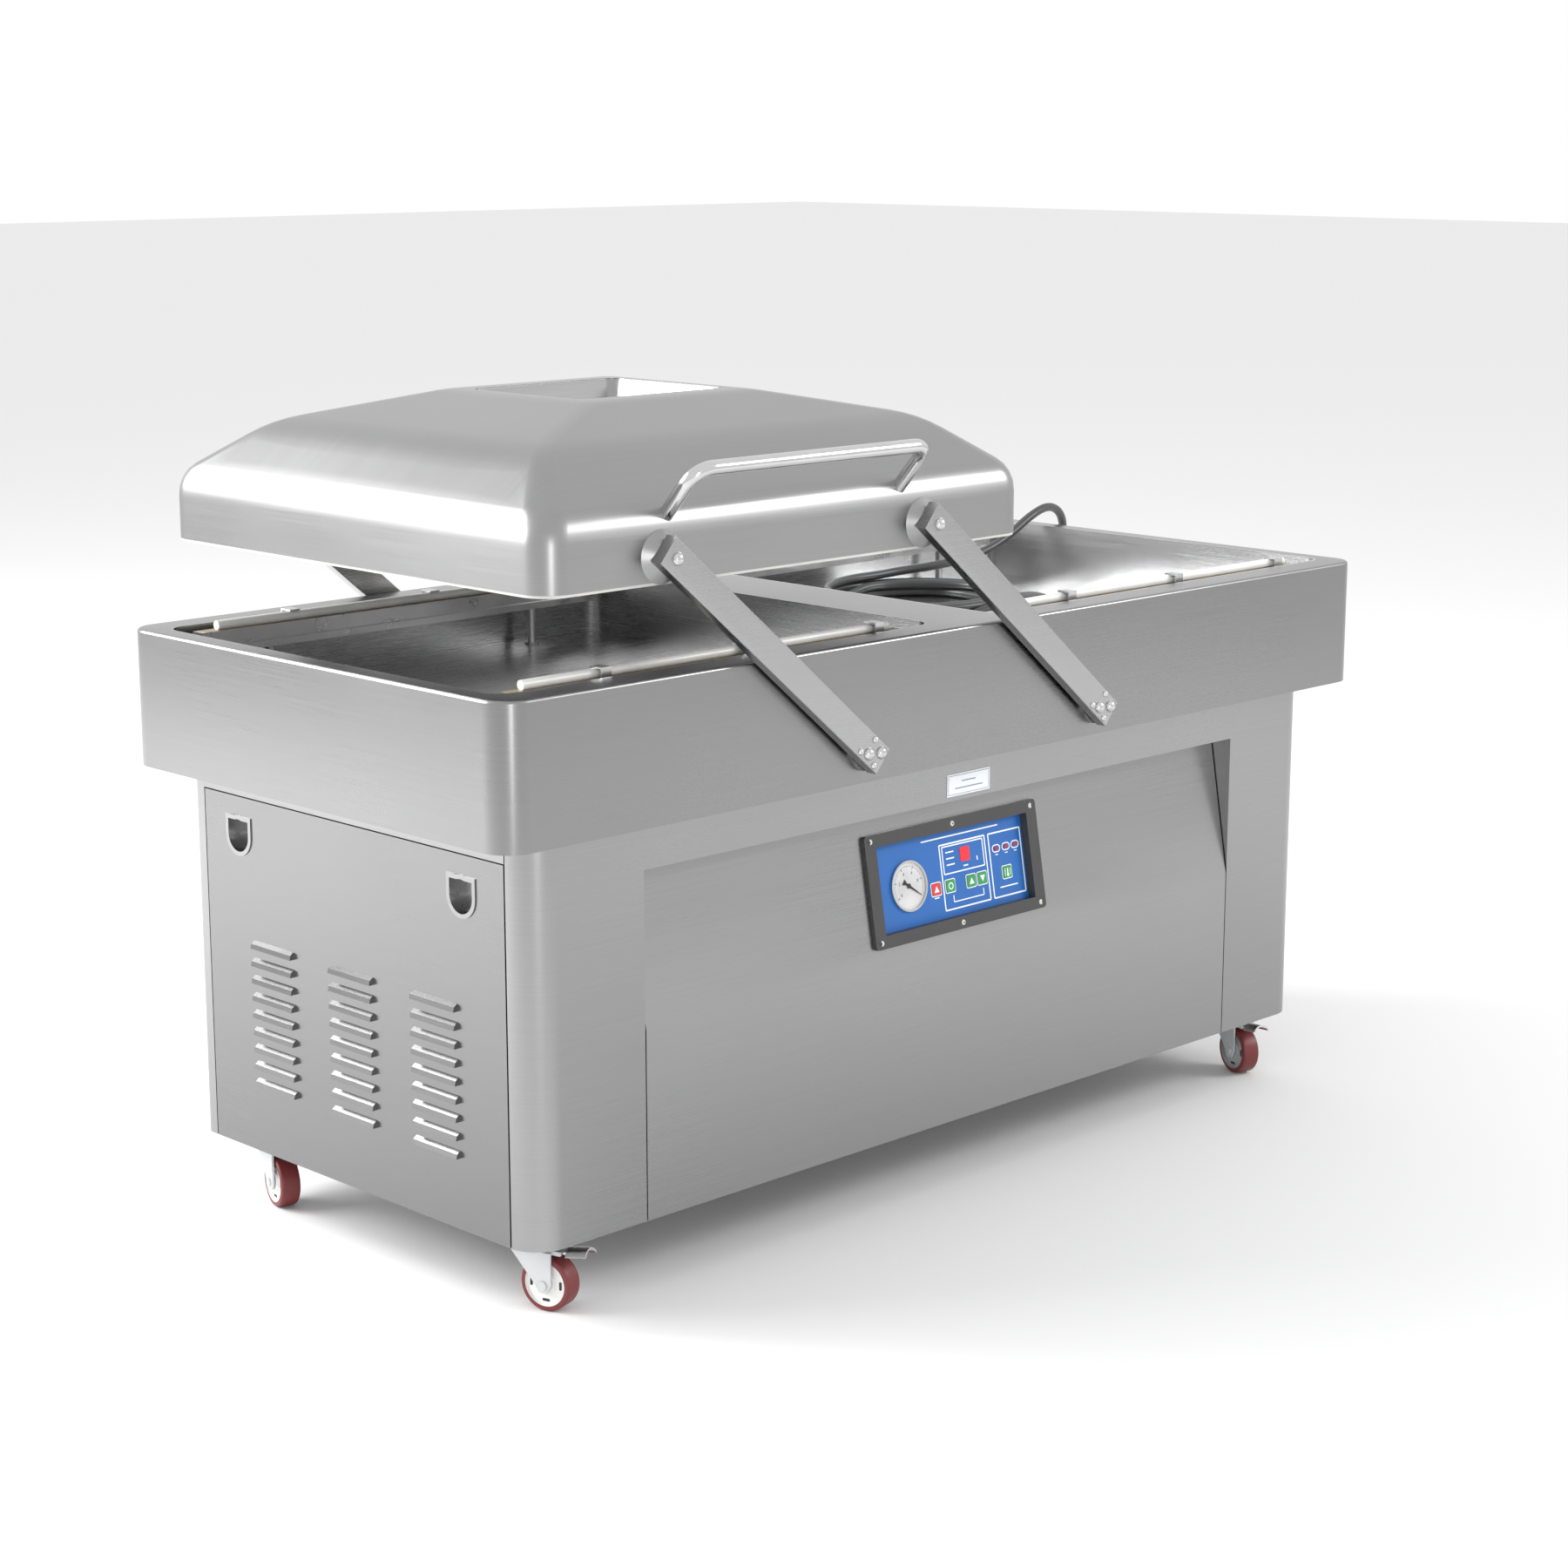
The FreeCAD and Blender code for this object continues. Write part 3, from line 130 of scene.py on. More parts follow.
class Shape:
    """Vertices and faces gathered from several simple forms."""

    def __init__(self):
        self.verts = []
        self.faces = []

    def add(self, verts, faces):
        start = len(self.verts)
        self.verts += [Vector(v) for v in verts]
        self.faces += [tuple(start + i for i in face) for face in faces]

    def rings(self, rings):
        """Skin a list of rings that have the same number of points, and close both ends."""
        count = len(rings[0])
        verts = [v for ring in rings for v in ring]
        faces = []
        for level in range(len(rings) - 1):
            for i in range(count):
                j = (i + 1) % count
                faces.append((level * count + i, level * count + j,
                              (level + 1) * count + j, (level + 1) * count + i))
        faces.append(tuple(reversed(range(count))))
        faces.append(tuple((len(rings) - 1) * count + i for i in range(count)))
        self.add(verts, faces)

    def lathe(self, profile, centre, axis, steps=48):
        """Turn a profile of (radius, distance along the axis) points; a radius of 0 closes an end."""
        side = axis.orthogonal().normalized()
        across = axis.cross(side)
        rings = []
        for radius, along in profile:
            ring = []
            for i in range(steps):
                angle = 2 * math.pi * i / steps
                spoke = side * math.cos(angle) + across * math.sin(angle)
                ring.append(centre + axis * along + spoke * max(radius, closed_radius))
            rings.append(ring)
        self.rings(rings)

    def slab(self, loop, lift, thickness):
        """A flat closed loop of points given depth along lift."""
        low = [Vector(p) for p in loop]
        high = [p + lift * thickness for p in low]
        self.rings([low, high])

    def band(self, outer, inner, lift, thickness):
        """A flat frame between two loops with the same number of points."""
        count = len(outer)
        loops = [outer, [p + lift * thickness for p in outer],
                 [p + lift * thickness for p in inner], inner]
        verts = [v for loop in loops for v in loop]
        faces = []
        for level in range(4):
            other = (level + 1) % 4
            for i in range(count):
                j = (i + 1) % count
                faces.append((level * count + i, level * count + j, other * count + j,
                              other * count + i))
        self.add(verts, faces)

    def build(self, name, material, body):
        """Make one piece of the object from what was gathered, riding on a CAD body."""
        made = new_object(name, self.verts, self.faces, material)
        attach(made, body)


def domed_head(shape, centre, axis, radius, height, sides=24):
    """A quarter-ellipse dome that stands on its centre, along the axis."""
    arcs = 5
    profile = [(radius, 0.0)]
    for step in range(1, arcs):
        angle = math.pi / 2 * step / arcs
        profile.append((radius * math.cos(angle), height * math.sin(angle)))
    profile.append((0.0, height))
    shape.lathe(profile, centre, axis, sides)


# ---------------------------------------------------------------- materials
def tree_of(name):
    material = bpy.data.materials.new(name)
    material.use_nodes = True
    tree = material.node_tree
    return material, tree, tree.nodes["Principled BSDF"]


def plain(name, colour, roughness):
    material, _, shader = tree_of(name)
    shader.inputs["Base Color"].default_value = (*colour, 1)
    shader.inputs["Roughness"].default_value = roughness
    return material


def noise(tree, scale, detail=3.0, stretch=(1, 1, 1)):
    """Noise in the object's own coordinates, stretched along the axes with small factors."""
    coordinates = tree.nodes.new("ShaderNodeTexCoord")
    mapping = tree.nodes.new("ShaderNodeMapping")
    mapping.inputs["Scale"].default_value = stretch
    texture = tree.nodes.new("ShaderNodeTexNoise")
    texture.inputs["Scale"].default_value = scale
    texture.inputs["Detail"].default_value = detail
    tree.links.new(coordinates.outputs["Object"], mapping.inputs["Vector"])
    tree.links.new(mapping.outputs["Vector"], texture.inputs["Vector"])
    return texture.outputs["Fac"]


def span(tree, value, low, high, out_low, out_high):
    """The value, with low to high stretched to out_low to out_high."""
    node = tree.nodes.new("ShaderNodeMapRange")
    node.inputs["From Min"].default_value = low
    node.inputs["From Max"].default_value = high
    node.inputs["To Min"].default_value = out_low
    node.inputs["To Max"].default_value = out_high
    tree.links.new(value, node.inputs["Value"])
    return node.outputs["Result"]


def math_node(tree, operation, first, second):
    node = tree.nodes.new("ShaderNodeMath")
    node.operation = operation
    for socket, value in zip(node.inputs, (first, second)):
        if isinstance(value, (int, float)):
            socket.default_value = value
        else:
            tree.links.new(value, socket)
    return node.outputs["Value"]


def mixed(tree, factor, first, second):
    """First colour at factor 0, second at factor 1."""
    node = tree.nodes.new("ShaderNodeMix")
    node.data_type = "RGBA"
    tree.links.new(factor, node.inputs["Factor"])
    node.inputs["A"].default_value = (*first, 1)
    node.inputs["B"].default_value = (*second, 1)
    return node.outputs["Result"]


def bumped(tree, shader, height, strength, distance):
    bump = tree.nodes.new("ShaderNodeBump")
    bump.inputs["Strength"].default_value = strength
    bump.inputs["Distance"].default_value = distance
    tree.links.new(height, bump.inputs["Height"])
    tree.links.new(bump.outputs["Normal"], shader.inputs["Normal"])


wall_grain = (6, 6, 900)
top_grain = (6, 900, 6)
top_slope = 0.7


def brushed_steel(name, tone, roughness, depth=0.02):
    """Sheet with a fine grain along its walls, and along X on faces that look up or down."""
    material, tree, shader = tree_of(name)
    shader.inputs["Metallic"].default_value = 1.0
    walls = noise(tree, 1.0, 3.0, wall_grain)
    tops = noise(tree, 1.0, 3.0, top_grain)
    geometry = tree.nodes.new("ShaderNodeNewGeometry")
    split = tree.nodes.new("ShaderNodeSeparateXYZ")
    tree.links.new(geometry.outputs["Normal"], split.inputs["Vector"])
    steepness = math_node(tree, "ABSOLUTE", split.outputs["Z"], 0)
    facing_up = math_node(tree, "GREATER_THAN", steepness, top_slope)
    choose = tree.nodes.new("ShaderNodeMix")
    choose.data_type = "FLOAT"
    tree.links.new(facing_up, choose.inputs["Factor"])
    tree.links.new(walls, choose.inputs["A"])
    tree.links.new(tops, choose.inputs["B"])
    streaks = choose.outputs["Result"]
    smudges = noise(tree, 2.6, 2.0)
    fine = span(tree, streaks, 0.3, 0.7, roughness - 0.02, roughness + 0.02)
    rough = math_node(tree, "ADD", fine, span(tree, smudges, 0.35, 0.65, -0.02, 0.025))
    tree.links.new(rough, shader.inputs["Roughness"])
    dark = (tone * 0.97, tone * 0.97, tone * 0.975)
    light = (tone * 1.02, tone * 1.02, tone * 1.025)
    tree.links.new(mixed(tree, span(tree, streaks, 0.3, 0.7, 0, 1), dark, light),
                   shader.inputs["Base Color"])
    bumped(tree, shader, streaks, depth, 0.0003)
    return material


def polished_metal(name, dark, light, roughness):
    """Smooth metal with faint wear in its colour and its gloss."""
    material, tree, shader = tree_of(name)
    shader.inputs["Metallic"].default_value = 1.0
    wear = noise(tree, 38, 4.0)
    tree.links.new(span(tree, wear, 0.35, 0.65, roughness - 0.03, roughness + 0.05),
                   shader.inputs["Roughness"])
    tree.links.new(mixed(tree, span(tree, wear, 0.3, 0.7, 0, 1), dark, light),
                   shader.inputs["Base Color"])
    bumped(tree, shader, noise(tree, 900, 2.0), 0.02, 0.0002)
    return material


def polished_steel(name, tone, roughness):
    return polished_metal(name, (tone * 0.94,) * 3, (tone * 1.02,) * 3, roughness)


def moulded(name, colour, roughness, grain=2600, strength=0.1, coat=0.0, variation=0.06):
    """Plastic, paint or rubber: a fine moulded grain and slightly uneven colour."""
    material, tree, shader = tree_of(name)
    uneven = noise(tree, 24, 3.0)
    dark = tuple(c * (1 - variation) for c in colour)
    light = tuple(min(1.0, c * (1 + variation)) for c in colour)
    tree.links.new(mixed(tree, span(tree, uneven, 0.3, 0.7, 0, 1), dark, light),
                   shader.inputs["Base Color"])
    tree.links.new(span(tree, uneven, 0.3, 0.7, roughness - 0.04, roughness + 0.05),
                   shader.inputs["Roughness"])
    shader.inputs["Coat Weight"].default_value = coat
    bumped(tree, shader, noise(tree, grain, 2.0), strength, 0.0001)
    return material


def glass(name, tint, roughness):
    material, tree, shader = tree_of(name)
    shader.inputs["Base Color"].default_value = (*tint, 1)
    shader.inputs["Transmission Weight"].default_value = 1.0
    shader.inputs["IOR"].default_value = 1.45
    tree.links.new(span(tree, noise(tree, 6, 2.0), 0.3, 0.7, roughness, roughness + 0.03),
                   shader.inputs["Roughness"])
    return material


def glowing(name, colour, strength):
    material, tree, shader = tree_of(name)
    shades = [tuple(c * f for c in colour) for f in (0.9, 1.0)]
    tree.links.new(mixed(tree, noise(tree, 120, 2.0), *shades), shader.inputs["Base Color"])
    shader.inputs["Roughness"].default_value = 0.25
    shader.inputs["Emission Color"].default_value = (*colour, 1)
    shader.inputs["Emission Strength"].default_value = strength
    return material


def make_materials():
    made = {}
    made["sheet"] = brushed_steel("steel_sheet", 0.33, 0.30)
    made["side_sheet"] = brushed_steel("steel_side", 0.24, 0.24)
    made["tank"] = brushed_steel("steel_tank", 0.28, 0.29)
    made["lid"] = brushed_steel("steel_lid", 0.33, 0.32, depth=0.01)
    made["pan_left"] = brushed_steel("steel_pan_left", 0.36, 0.27, depth=0.006)
    # The right pan wears a brighter copy of the pan steel, tone 0.72 against 0.36: painted light standing
    # in for the light that falls into the right chamber.
    made["pan_right"] = brushed_steel("steel_pan_right_painted_light", 0.72, 0.25, depth=0.006)
    made["bar"] = brushed_steel("steel_bar", 0.40, 0.27)
    made["bright"] = polished_steel("steel_bright", 0.62, 0.14)
    made["cup"] = polished_steel("steel_cup", 0.32, 0.24)
    made["aluminium"] = polished_steel("aluminium_bar", 0.60, 0.3)
    made["brass"] = polished_metal("brass_screw", (0.42, 0.25, 0.08), (0.62, 0.40, 0.14), 0.25)
    made["sleeve"] = moulded("rod_sleeve", (0.80, 0.80, 0.78), 0.32, coat=0.2)
    made["tape"] = moulded("seal_tape", (0.30, 0.23, 0.15), 0.5, grain=1500, strength=0.2)
    made["silicone"] = moulded("silicone", (0.60, 0.59, 0.56), 0.6)
    made["bezel"] = moulded("bezel_black", (0.045, 0.045, 0.045), 0.5, grain=1800, strength=0.2)
    made["blue"] = moulded("panel_blue", (0.012, 0.125, 0.43), 0.45, grain=3000, strength=0.04,
                           variation=0.03)
    made["print"] = moulded("print_white", (0.86, 0.88, 0.90), 0.5, variation=0.02)
    made["green"] = moulded("button_green", (0.02, 0.30, 0.08), 0.35, coat=0.3)
    made["red"] = moulded("button_red", (0.62, 0.03, 0.03), 0.35, coat=0.3)
    made["lamp"] = moulded("lamp_red", (0.35, 0.02, 0.03), 0.25, coat=0.5)
    made["display"] = glowing("display_red", (0.80, 0.02, 0.03), 0.35)
    made["dial"] = moulded("dial_white", (0.62, 0.62, 0.62), 0.3, grain=700, strength=0.3, variation=0.14)
    made["black"] = moulded("ink_black", (0.015, 0.015, 0.015), 0.4)
    made["plate"] = moulded("nameplate_white", (0.78, 0.80, 0.82), 0.35, variation=0.02)
    made["frame_line"] = moulded("nameplate_line", (0.25, 0.32, 0.40), 0.4, variation=0.02)
    made["screw"] = moulded("screw_pale", (0.62, 0.62, 0.56), 0.35, variation=0.05)
    made["clear"] = glass("clear_pane", (0.93, 0.96, 0.96), 0.02)
    made["fork"] = moulded("fork_paint", (0.55, 0.56, 0.57), 0.35, grain=900, coat=0.3)
    made["hub_white"] = moulded("hub_white", (0.78, 0.78, 0.77), 0.35, coat=0.2)
    made["hub_grey"] = moulded("hub_grey", (0.42, 0.43, 0.44), 0.4, coat=0.2)
    made["tyre"] = moulded("tyre_red", (0.16, 0.022, 0.022), 0.38, grain=1400, strength=0.15)
    made["iron"] = moulded("pump_iron", (0.10, 0.16, 0.22), 0.45, grain=500, strength=0.4)
    made["lacquer"] = moulded("transformer_lacquer", (0.10, 0.10, 0.11), 0.45, grain=500, strength=0.3)
    made["cord"] = moulded("cord_rubber", (0.045, 0.046, 0.048), 0.42, grain=1600, strength=0.2,
                           coat=0.15)
    made["plug"] = moulded("plug_rubber", (0.03, 0.03, 0.032), 0.45, grain=1200, strength=0.3)
    return made


# ---------------------------------------------------------------- CAD nodes
hub_edge = 0.0256
sharp_bend = 28
weld_reach = 0.00001


def node_material(name):
    """The key of the material that a CAD node wears."""
    exact = {"tank_shell": "tank", "cabinet_frame": "sheet", "front_cover": "sheet",
             "rear_panel": "sheet", "lid_shell": "lid", "lid_window": "clear",
             "lid_window_frame": "bar", "lid_gasket": "silicone", "lid_pads": "silicone",
             "lid_handle": "bright", "panel_bezel": "bezel", "panel_plate": "blue",
             "vacuum_gauge": "dial", "gauge_needle": "black", "display_window": "display",
             "nameplate": "plate", "vacuum_pump": "iron", "transformer": "lacquer",
             "valve_block": "aluminium", "power_plug": "plug", "cord_gland": "plug",
             "button_stop": "red"}
    if name in exact:
        return exact[name]
    starts = {"chamber_pan_left": "pan_left", "chamber_pan_right": "pan_right",
              "seal_bar": "aluminium", "clamp_rods": "sleeve", "corner_post": "sheet",
              "side_panel": "side_sheet", "pull_cups": "cup",
              "arm_": "bar", "shaft": "bright", "counter_spring": "bright", "button": "green",
              "caster_fork": "fork", "caster_wheel": "tyre", "brake_pedal": "bright",
              "power_cord": "cord", "cord_coil": "cord"}
    return next(value for start, value in starts.items() if name.startswith(start))


def paint_hub(name, node):
    """The wheel's centre takes the hub's colour, out to where the tyre begins."""
    roll = joints["roll_" + name[len("caster_wheel_"):]]
    axle = Vector(roll["axis"]).normalized()
    middle = Vector(roll["pos_m"])
    hub = "hub_white" if name.endswith("left") else "hub_grey"
    node.data.materials.append(mats[hub])
    turn = node.matrix_world
    for polygon in node.data.polygons:
        offset = turn @ polygon.center - middle
        spread = (offset - axle * offset.dot(axle)).length
        if spread < hub_edge:
            polygon.material_index = 1


def dress_cad_nodes():
    """Give every CAD node its material, and shade its bends smooth and its edges sharp."""
    for name, node in nodes.items():
        node.data.materials.clear()
        node.data.materials.append(mats[node_material(name)])
        for polygon in node.data.polygons:
            polygon.material_index = 0
            polygon.use_smooth = True
        if "custom_normal" in node.data.attributes:
            node.data.attributes.remove(node.data.attributes["custom_normal"])
        if name.startswith("caster_wheel"):
            paint_hub(name, node)
        weld = node.modifiers.new("weld", "WELD")
        weld.merge_threshold = weld_reach
        split = node.modifiers.new("split", "EDGE_SPLIT")
        split.split_angle = math.radians(sharp_bend)


# ---------------------------------------------------------------- cord
coil_start = 74.0
coil_end = 258.0 + 4 * 360
coil_step = 17.0
landing_end = 150.0
landing_lift = 0.002
boot_distance = 0.045
inside_boot = 0.004
before_boot = 0.016


def cord_route():
    """The cord's route from its gland over the right rim to the coil, as in the CAD model."""
    route = [(0.600, 0.3265, 0.330), (0.600, 0.3785, 0.330), (0.634, 0.4245, 0.345),
             (0.690, 0.4325, 0.384), (0.744, 0.4105, 0.440), (0.782, 0.3505, 0.508),
             (0.796, 0.282, 0.576), (0.794, 0.226, 0.650), (0.774, 0.208, 0.700),
             (0.738, 0.202, 0.720), (0.692, 0.198, 0.710), (0.640, 0.195, 0.684),
             (0.575, 0.192, 0.664), (0.505, 0.205, 0.655), (0.452, 0.229, 0.650)]
    return [Vector((x, y + middle_y, z)) for x, y, z in route]


def eased(value, low, high):
    """0 below low, 1 above high, and a smooth rise between them."""
    t = min(1.0, max(0.0, (value - low) / (high - low)))
    return t * t * (3 - 2 * t)


def coil_point(degrees):
    """Point on the coil: it comes in on top, then takes two lanes in the middle and three on the
    chamber floor, the last of them outermost."""
    low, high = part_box("cord_coil")
    centre = (low + high) / 2
    floor = low.z + 0.0061
    reach = 0.127
    height = 0.0222
    lanes = [(180, 0.134, 0.0120), (480, 0.120, 0.0120), (780, 0.114, 0.0), (1080, 0.127, 0.0),
             (1380, 0.140, 0.0)]
    change = 32
    delay = 26
    for begin, next_reach, next_height in lanes:
        drop = begin + delay
        reach += (next_reach - reach) * eased(degrees, begin, begin + change)
        height += (next_height - height) * eased(degrees, drop, drop + change)
    squeeze = (high.x - low.x - (high.y - low.y)) / 2
    angle = math.radians(degrees)
    wander = 0.0012 * math.sin(2.0 * angle + degrees / 190)
    x = centre.x + (reach + wander) * math.cos(angle)
    y = centre.y + (reach - squeeze + wander) * math.sin(angle)
    return Vector((x, y, floor + height))


def plug_axis():
    """Where the plug's boot starts and which way the plug points, along the coil's tangent."""
    leave = coil_point(coil_end)
    heading = leave - coil_point(coil_end - 1)
    heading.z = 0
    heading.normalize()
    low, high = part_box("power_plug")
    boot = leave + heading * boot_distance
    boot.z = (low.z + high.z) / 2
    return boot, heading


def make_cord():
    """The free cord, its coil in real turns, and the strain relief at its gland."""
    diameter = 0.012
    route = cord_route()
    exit_point = route[0]
    boot, heading = plug_axis()
    degrees = coil_start
    while degrees < coil_end - coil_step / 2:
        point = coil_point(degrees)
        point.z += landing_lift * (1 - eased(degrees, coil_start, landing_end))
        route.append(point)
        degrees += coil_step
    route.append(coil_point(coil_end))
    route.append(boot - heading * before_boot)
    route.append(boot + heading * inside_boot)
    curve = bpy.data.curves.new("cord", "CURVE")
    curve.dimensions = "3D"
    curve.bevel_depth = diameter / 2
    curve.bevel_resolution = 5
    curve.resolution_u = 8
    curve.use_fill_caps = True
    spline = curve.splines.new("NURBS")
    spline.points.add(len(route) - 1)
    for control, point in zip(spline.points, route):
        control.co = (*point, 1)
    spline.order_u = 3
    spline.use_endpoint_u = True
    curve.materials.append(mats["cord"])
    cord = bpy.data.objects.new("cord", curve)
    bpy.context.scene.collection.objects.link(cord)
    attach(cord, "base")
    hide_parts("power_cord", "cord_coil")
    relief = Shape()
    profile = [(0.0110, 0.0), (0.0110, 0.004)]
    groove = 0.0014
    for rib in range(6):
        start = 0.006 + rib * 0.005
        radius = 0.0102 - rib * 0.0006
        profile += [(radius - groove, start), (radius, start + 0.001), (radius, start + 0.0036),
                    (radius - groove, start + 0.0046)]
    profile.append((0.0062, 0.040))
    relief.lathe(profile, exit_point - Vector((0, 0.002, 0)), Vector((0, 1, 0)), 28)
    relief.build("strain_relief", mats["plug"], "base")


# ---------------------------------------------------------------- control panel
cover_tilt = math.atan2(31, 179)
fold_y = middle_y - 0.3025
fold_z = 0.301
plate_depth = 6.0
bezel_face = 11.0
button_face = 1.2
dial_face = 0.5
dial_centre = (-75.0, 84.0)
button_v = 72.0
button_x = {"button_stop": -29.0, "button_set": -4.0, "button_up": 33.0, "button_down": 52.5,
            "button_heat": 98.0}
lamp_x = (83, 100.5, 117)
lamp_v = 103
print_lift = 0.05
print_depth = 0.2
mark_depth = 0.15
panel_out = Vector((0, -math.cos(cover_tilt), math.sin(cover_tilt)))


def on_panel(x, v, lift=0.0):
    """Millimetres across, up the sloping cover and out from the blue plate, to a point."""
    inward = plate_depth - lift
    y = inward * math.cos(cover_tilt) + v * math.sin(cover_tilt)
    z = v * math.cos(cover_tilt) - inward * math.sin(cover_tilt)
    return Vector((x * MM, fold_y + y * MM, fold_z + z * MM))


def rounded_loop(x, v, width, height, radius, lift):
    """Closed loop of a rectangle with round corners, in the panel's plane."""
    steps = 5
    loop = []
    corners = [(1, -1, -90), (1, 1, 0), (-1, 1, 90), (-1, -1, 180)]
    for sx, sv, start in corners:
        cx = x + sx * (width / 2 - radius)
        cv = v + sv * (height / 2 - radius)
        for step in range(steps + 1):
            angle = math.radians(start + 90 * step / steps)
            loop.append(on_panel(cx + radius * math.cos(angle), cv + radius * math.sin(angle), lift))
    return loop


def circle_loop(x, v, radius, lift, sides):
    loop = []
    for step in range(sides):
        angle = 2 * math.pi * step / sides
        loop.append(on_panel(x + radius * math.cos(angle), v + radius * math.sin(angle), lift))
    return loop


def outline(shape, x, v, width, height, radius, line):
    """A printed frame with round corners, as wide as line."""
    inner_radius = max(radius - line, 0.2)
    outer = rounded_loop(x, v, width, height, radius, print_lift)
    inner = rounded_loop(x, v, width - 2 * line, height - 2 * line, inner_radius, print_lift)
    shape.band(outer, inner, panel_out, print_depth * MM)


def strip(shape, x0, v0, x1, v1, line, lift=print_lift, thick=print_depth):
    """A straight printed line between two points."""
    run = Vector((x1 - x0, v1 - v0)).normalized() * line / 2
    side = Vector((-run.y, run.x))
    corners = [(x0 - side.x, v0 - side.y), (x1 - side.x, v1 - side.y),
               (x1 + side.x, v1 + side.y), (x0 + side.x, v0 + side.y)]
    shape.slab([on_panel(x, v, lift) for x, v in corners], panel_out, thick * MM)


def disc(shape, x, v, radius, lift, thick):
    shape.slab(circle_loop(x, v, radius, lift, 24), panel_out, thick * MM)


def ring(shape, x, v, outer, inner, lift, thick, sides=48):
    outside, inside = [circle_loop(x, v, radius, lift, sides) for radius in (outer, inner)]
    shape.band(outside, inside, panel_out, thick * MM)


def panel_print():
    """White frames and rules on the blue plate; its lettering is left out."""
    shape = Shape()
    outline(shape, 24, 83, 82, 80, 2.0, 1.8)
    outline(shape, 99.5, 83, 59, 80, 2.0, 1.8)
    outline(shape, 24, 103, 73, 34, 1.5, 1.5)
    for v in (112, 104.5, 97):
        strip(shape, -6, v, 8, v, 1.6)
    rules = [(23, 92, 31, 92, 1.6), (48, 95, 48, 100, 1.8), (0, 60, 0, 52, 1.3), (0, 52, 53, 52, 1.3),
             (53, 60, 53, 52, 1.3), (83, 55, 115, 55, 1.5), (-33, 61.5, -25, 61.5, 1.4),
             (-46, 131, 90, 131, 1.6)]
    for x0, v0, x1, v1, line in rules:
        strip(shape, x0, v0, x1, v1, line)
    for x in lamp_x:
        outline(shape, x, lamp_v, 14.5, 9.6, 4.7, 1.3)
        strip(shape, x - 2.5, lamp_v - 7.5, x + 2.5, lamp_v - 7.5, 1.1)
    for x in button_x.values():
        outline(shape, x, button_v, 18.0, 17.0, 2.4, 1.2)
    shape.build("panel_print", mats["print"], "base")
    lamps = Shape()
    for x in lamp_x:
        lamps.slab(rounded_loop(x, lamp_v, 6.4, 4.6, 1.6, print_lift), panel_out, 0.8 * MM)
    lamps.build("panel_lamps", mats["lamp"], "base")


def button_marks():
    """Plain signs on the faces of the five buttons."""
    for name, x in button_x.items():
        shape = Shape()
        lift = button_face + 0.02
        if name == "button_set":
            ring(shape, x, button_v, 4.2, 2.9, lift, mark_depth, 32)
        elif name == "button_heat":
            low, high = button_v - 4.5, button_v + 4.5
            strip(shape, x, low, x, high, 1.8, lift, mark_depth)
            disc(shape, x, button_v - 3.6, 1.9, lift, print_depth)
            for side in (x - 4.6, x + 4.6):
                strip(shape, side, low, side, high, 0.9, lift, mark_depth)
        else:
            up = -1 if name == "button_down" else 1
            tip = [(x - 4.2 * up, button_v - 3.6 * up), (x + 4.2 * up, button_v - 3.6 * up),
                   (x, button_v + 4.0 * up)]
            shape.slab([on_panel(px, pv, lift) for px, pv in tip], panel_out, mark_depth * MM)
        shape.build(name + "_mark", mats["print"], name)


def dial_marks():
    """Tick marks and plain numbers around the gauge, and its bright rim."""
    x0, v0 = dial_centre
    shape = Shape()
    first = 215.0
    sweep = 250.0
    labels = ["0", ".2", ".4", ".6", ".8", "1"]
    count = 50
    tick_end = 24.5
    for step in range(count + 1):
        angle = math.radians(first - sweep * step / count)
        across = math.cos(angle)
        up = math.sin(angle)
        numbered = step % 10 == 0
        inner = 20.5 if numbered else (22.0 if step % 5 == 0 else 22.8)
        line = 0.8 if numbered else 0.4
        strip(shape, x0 + inner * across, v0 + inner * up, x0 + tick_end * across,
              v0 + tick_end * up, line, dial_face + 0.02, 0.08)
    shape.build("dial_ticks", mats["black"], "base")
    rim = Shape()
    ring(rim, x0, v0, 30.3, 28.0, 0.1, 2.9)
    rim.build("dial_rim", mats["bright"], "base")
    reach = 16.2
    for step, label in enumerate(labels):
        angle = math.radians(first - sweep * step / (len(labels) - 1))
        text = bpy.data.curves.new("dial_number", "FONT")
        text.body = label
        text.size = 5.2 * MM
        text.align_x = "CENTER"
        text.align_y = "CENTER"
        text.extrude = 0.04 * MM
        text.materials.append(mats["black"])
        number = bpy.data.objects.new("dial_number_%d" % step, text)
        bpy.context.scene.collection.objects.link(number)
        place = on_panel(x0 + reach * math.cos(angle), v0 + reach * math.sin(angle), dial_face + 0.06)
        tilt = Matrix.Rotation(math.pi / 2 - cover_tilt, 4, "X")
        number.matrix_world = Matrix.Translation(place) @ tilt
        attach(number, "base")


def bezel_screws():
    shape = Shape()
    for x in (-140.5, 0, 140.5):
        for v in (27.5, 146.5):
            domed_head(shape, on_panel(x, v, bezel_face), panel_out, 3.3 * MM, 1.3 * MM, 20)
    shape.build("bezel_screws", mats["screw"], "base")


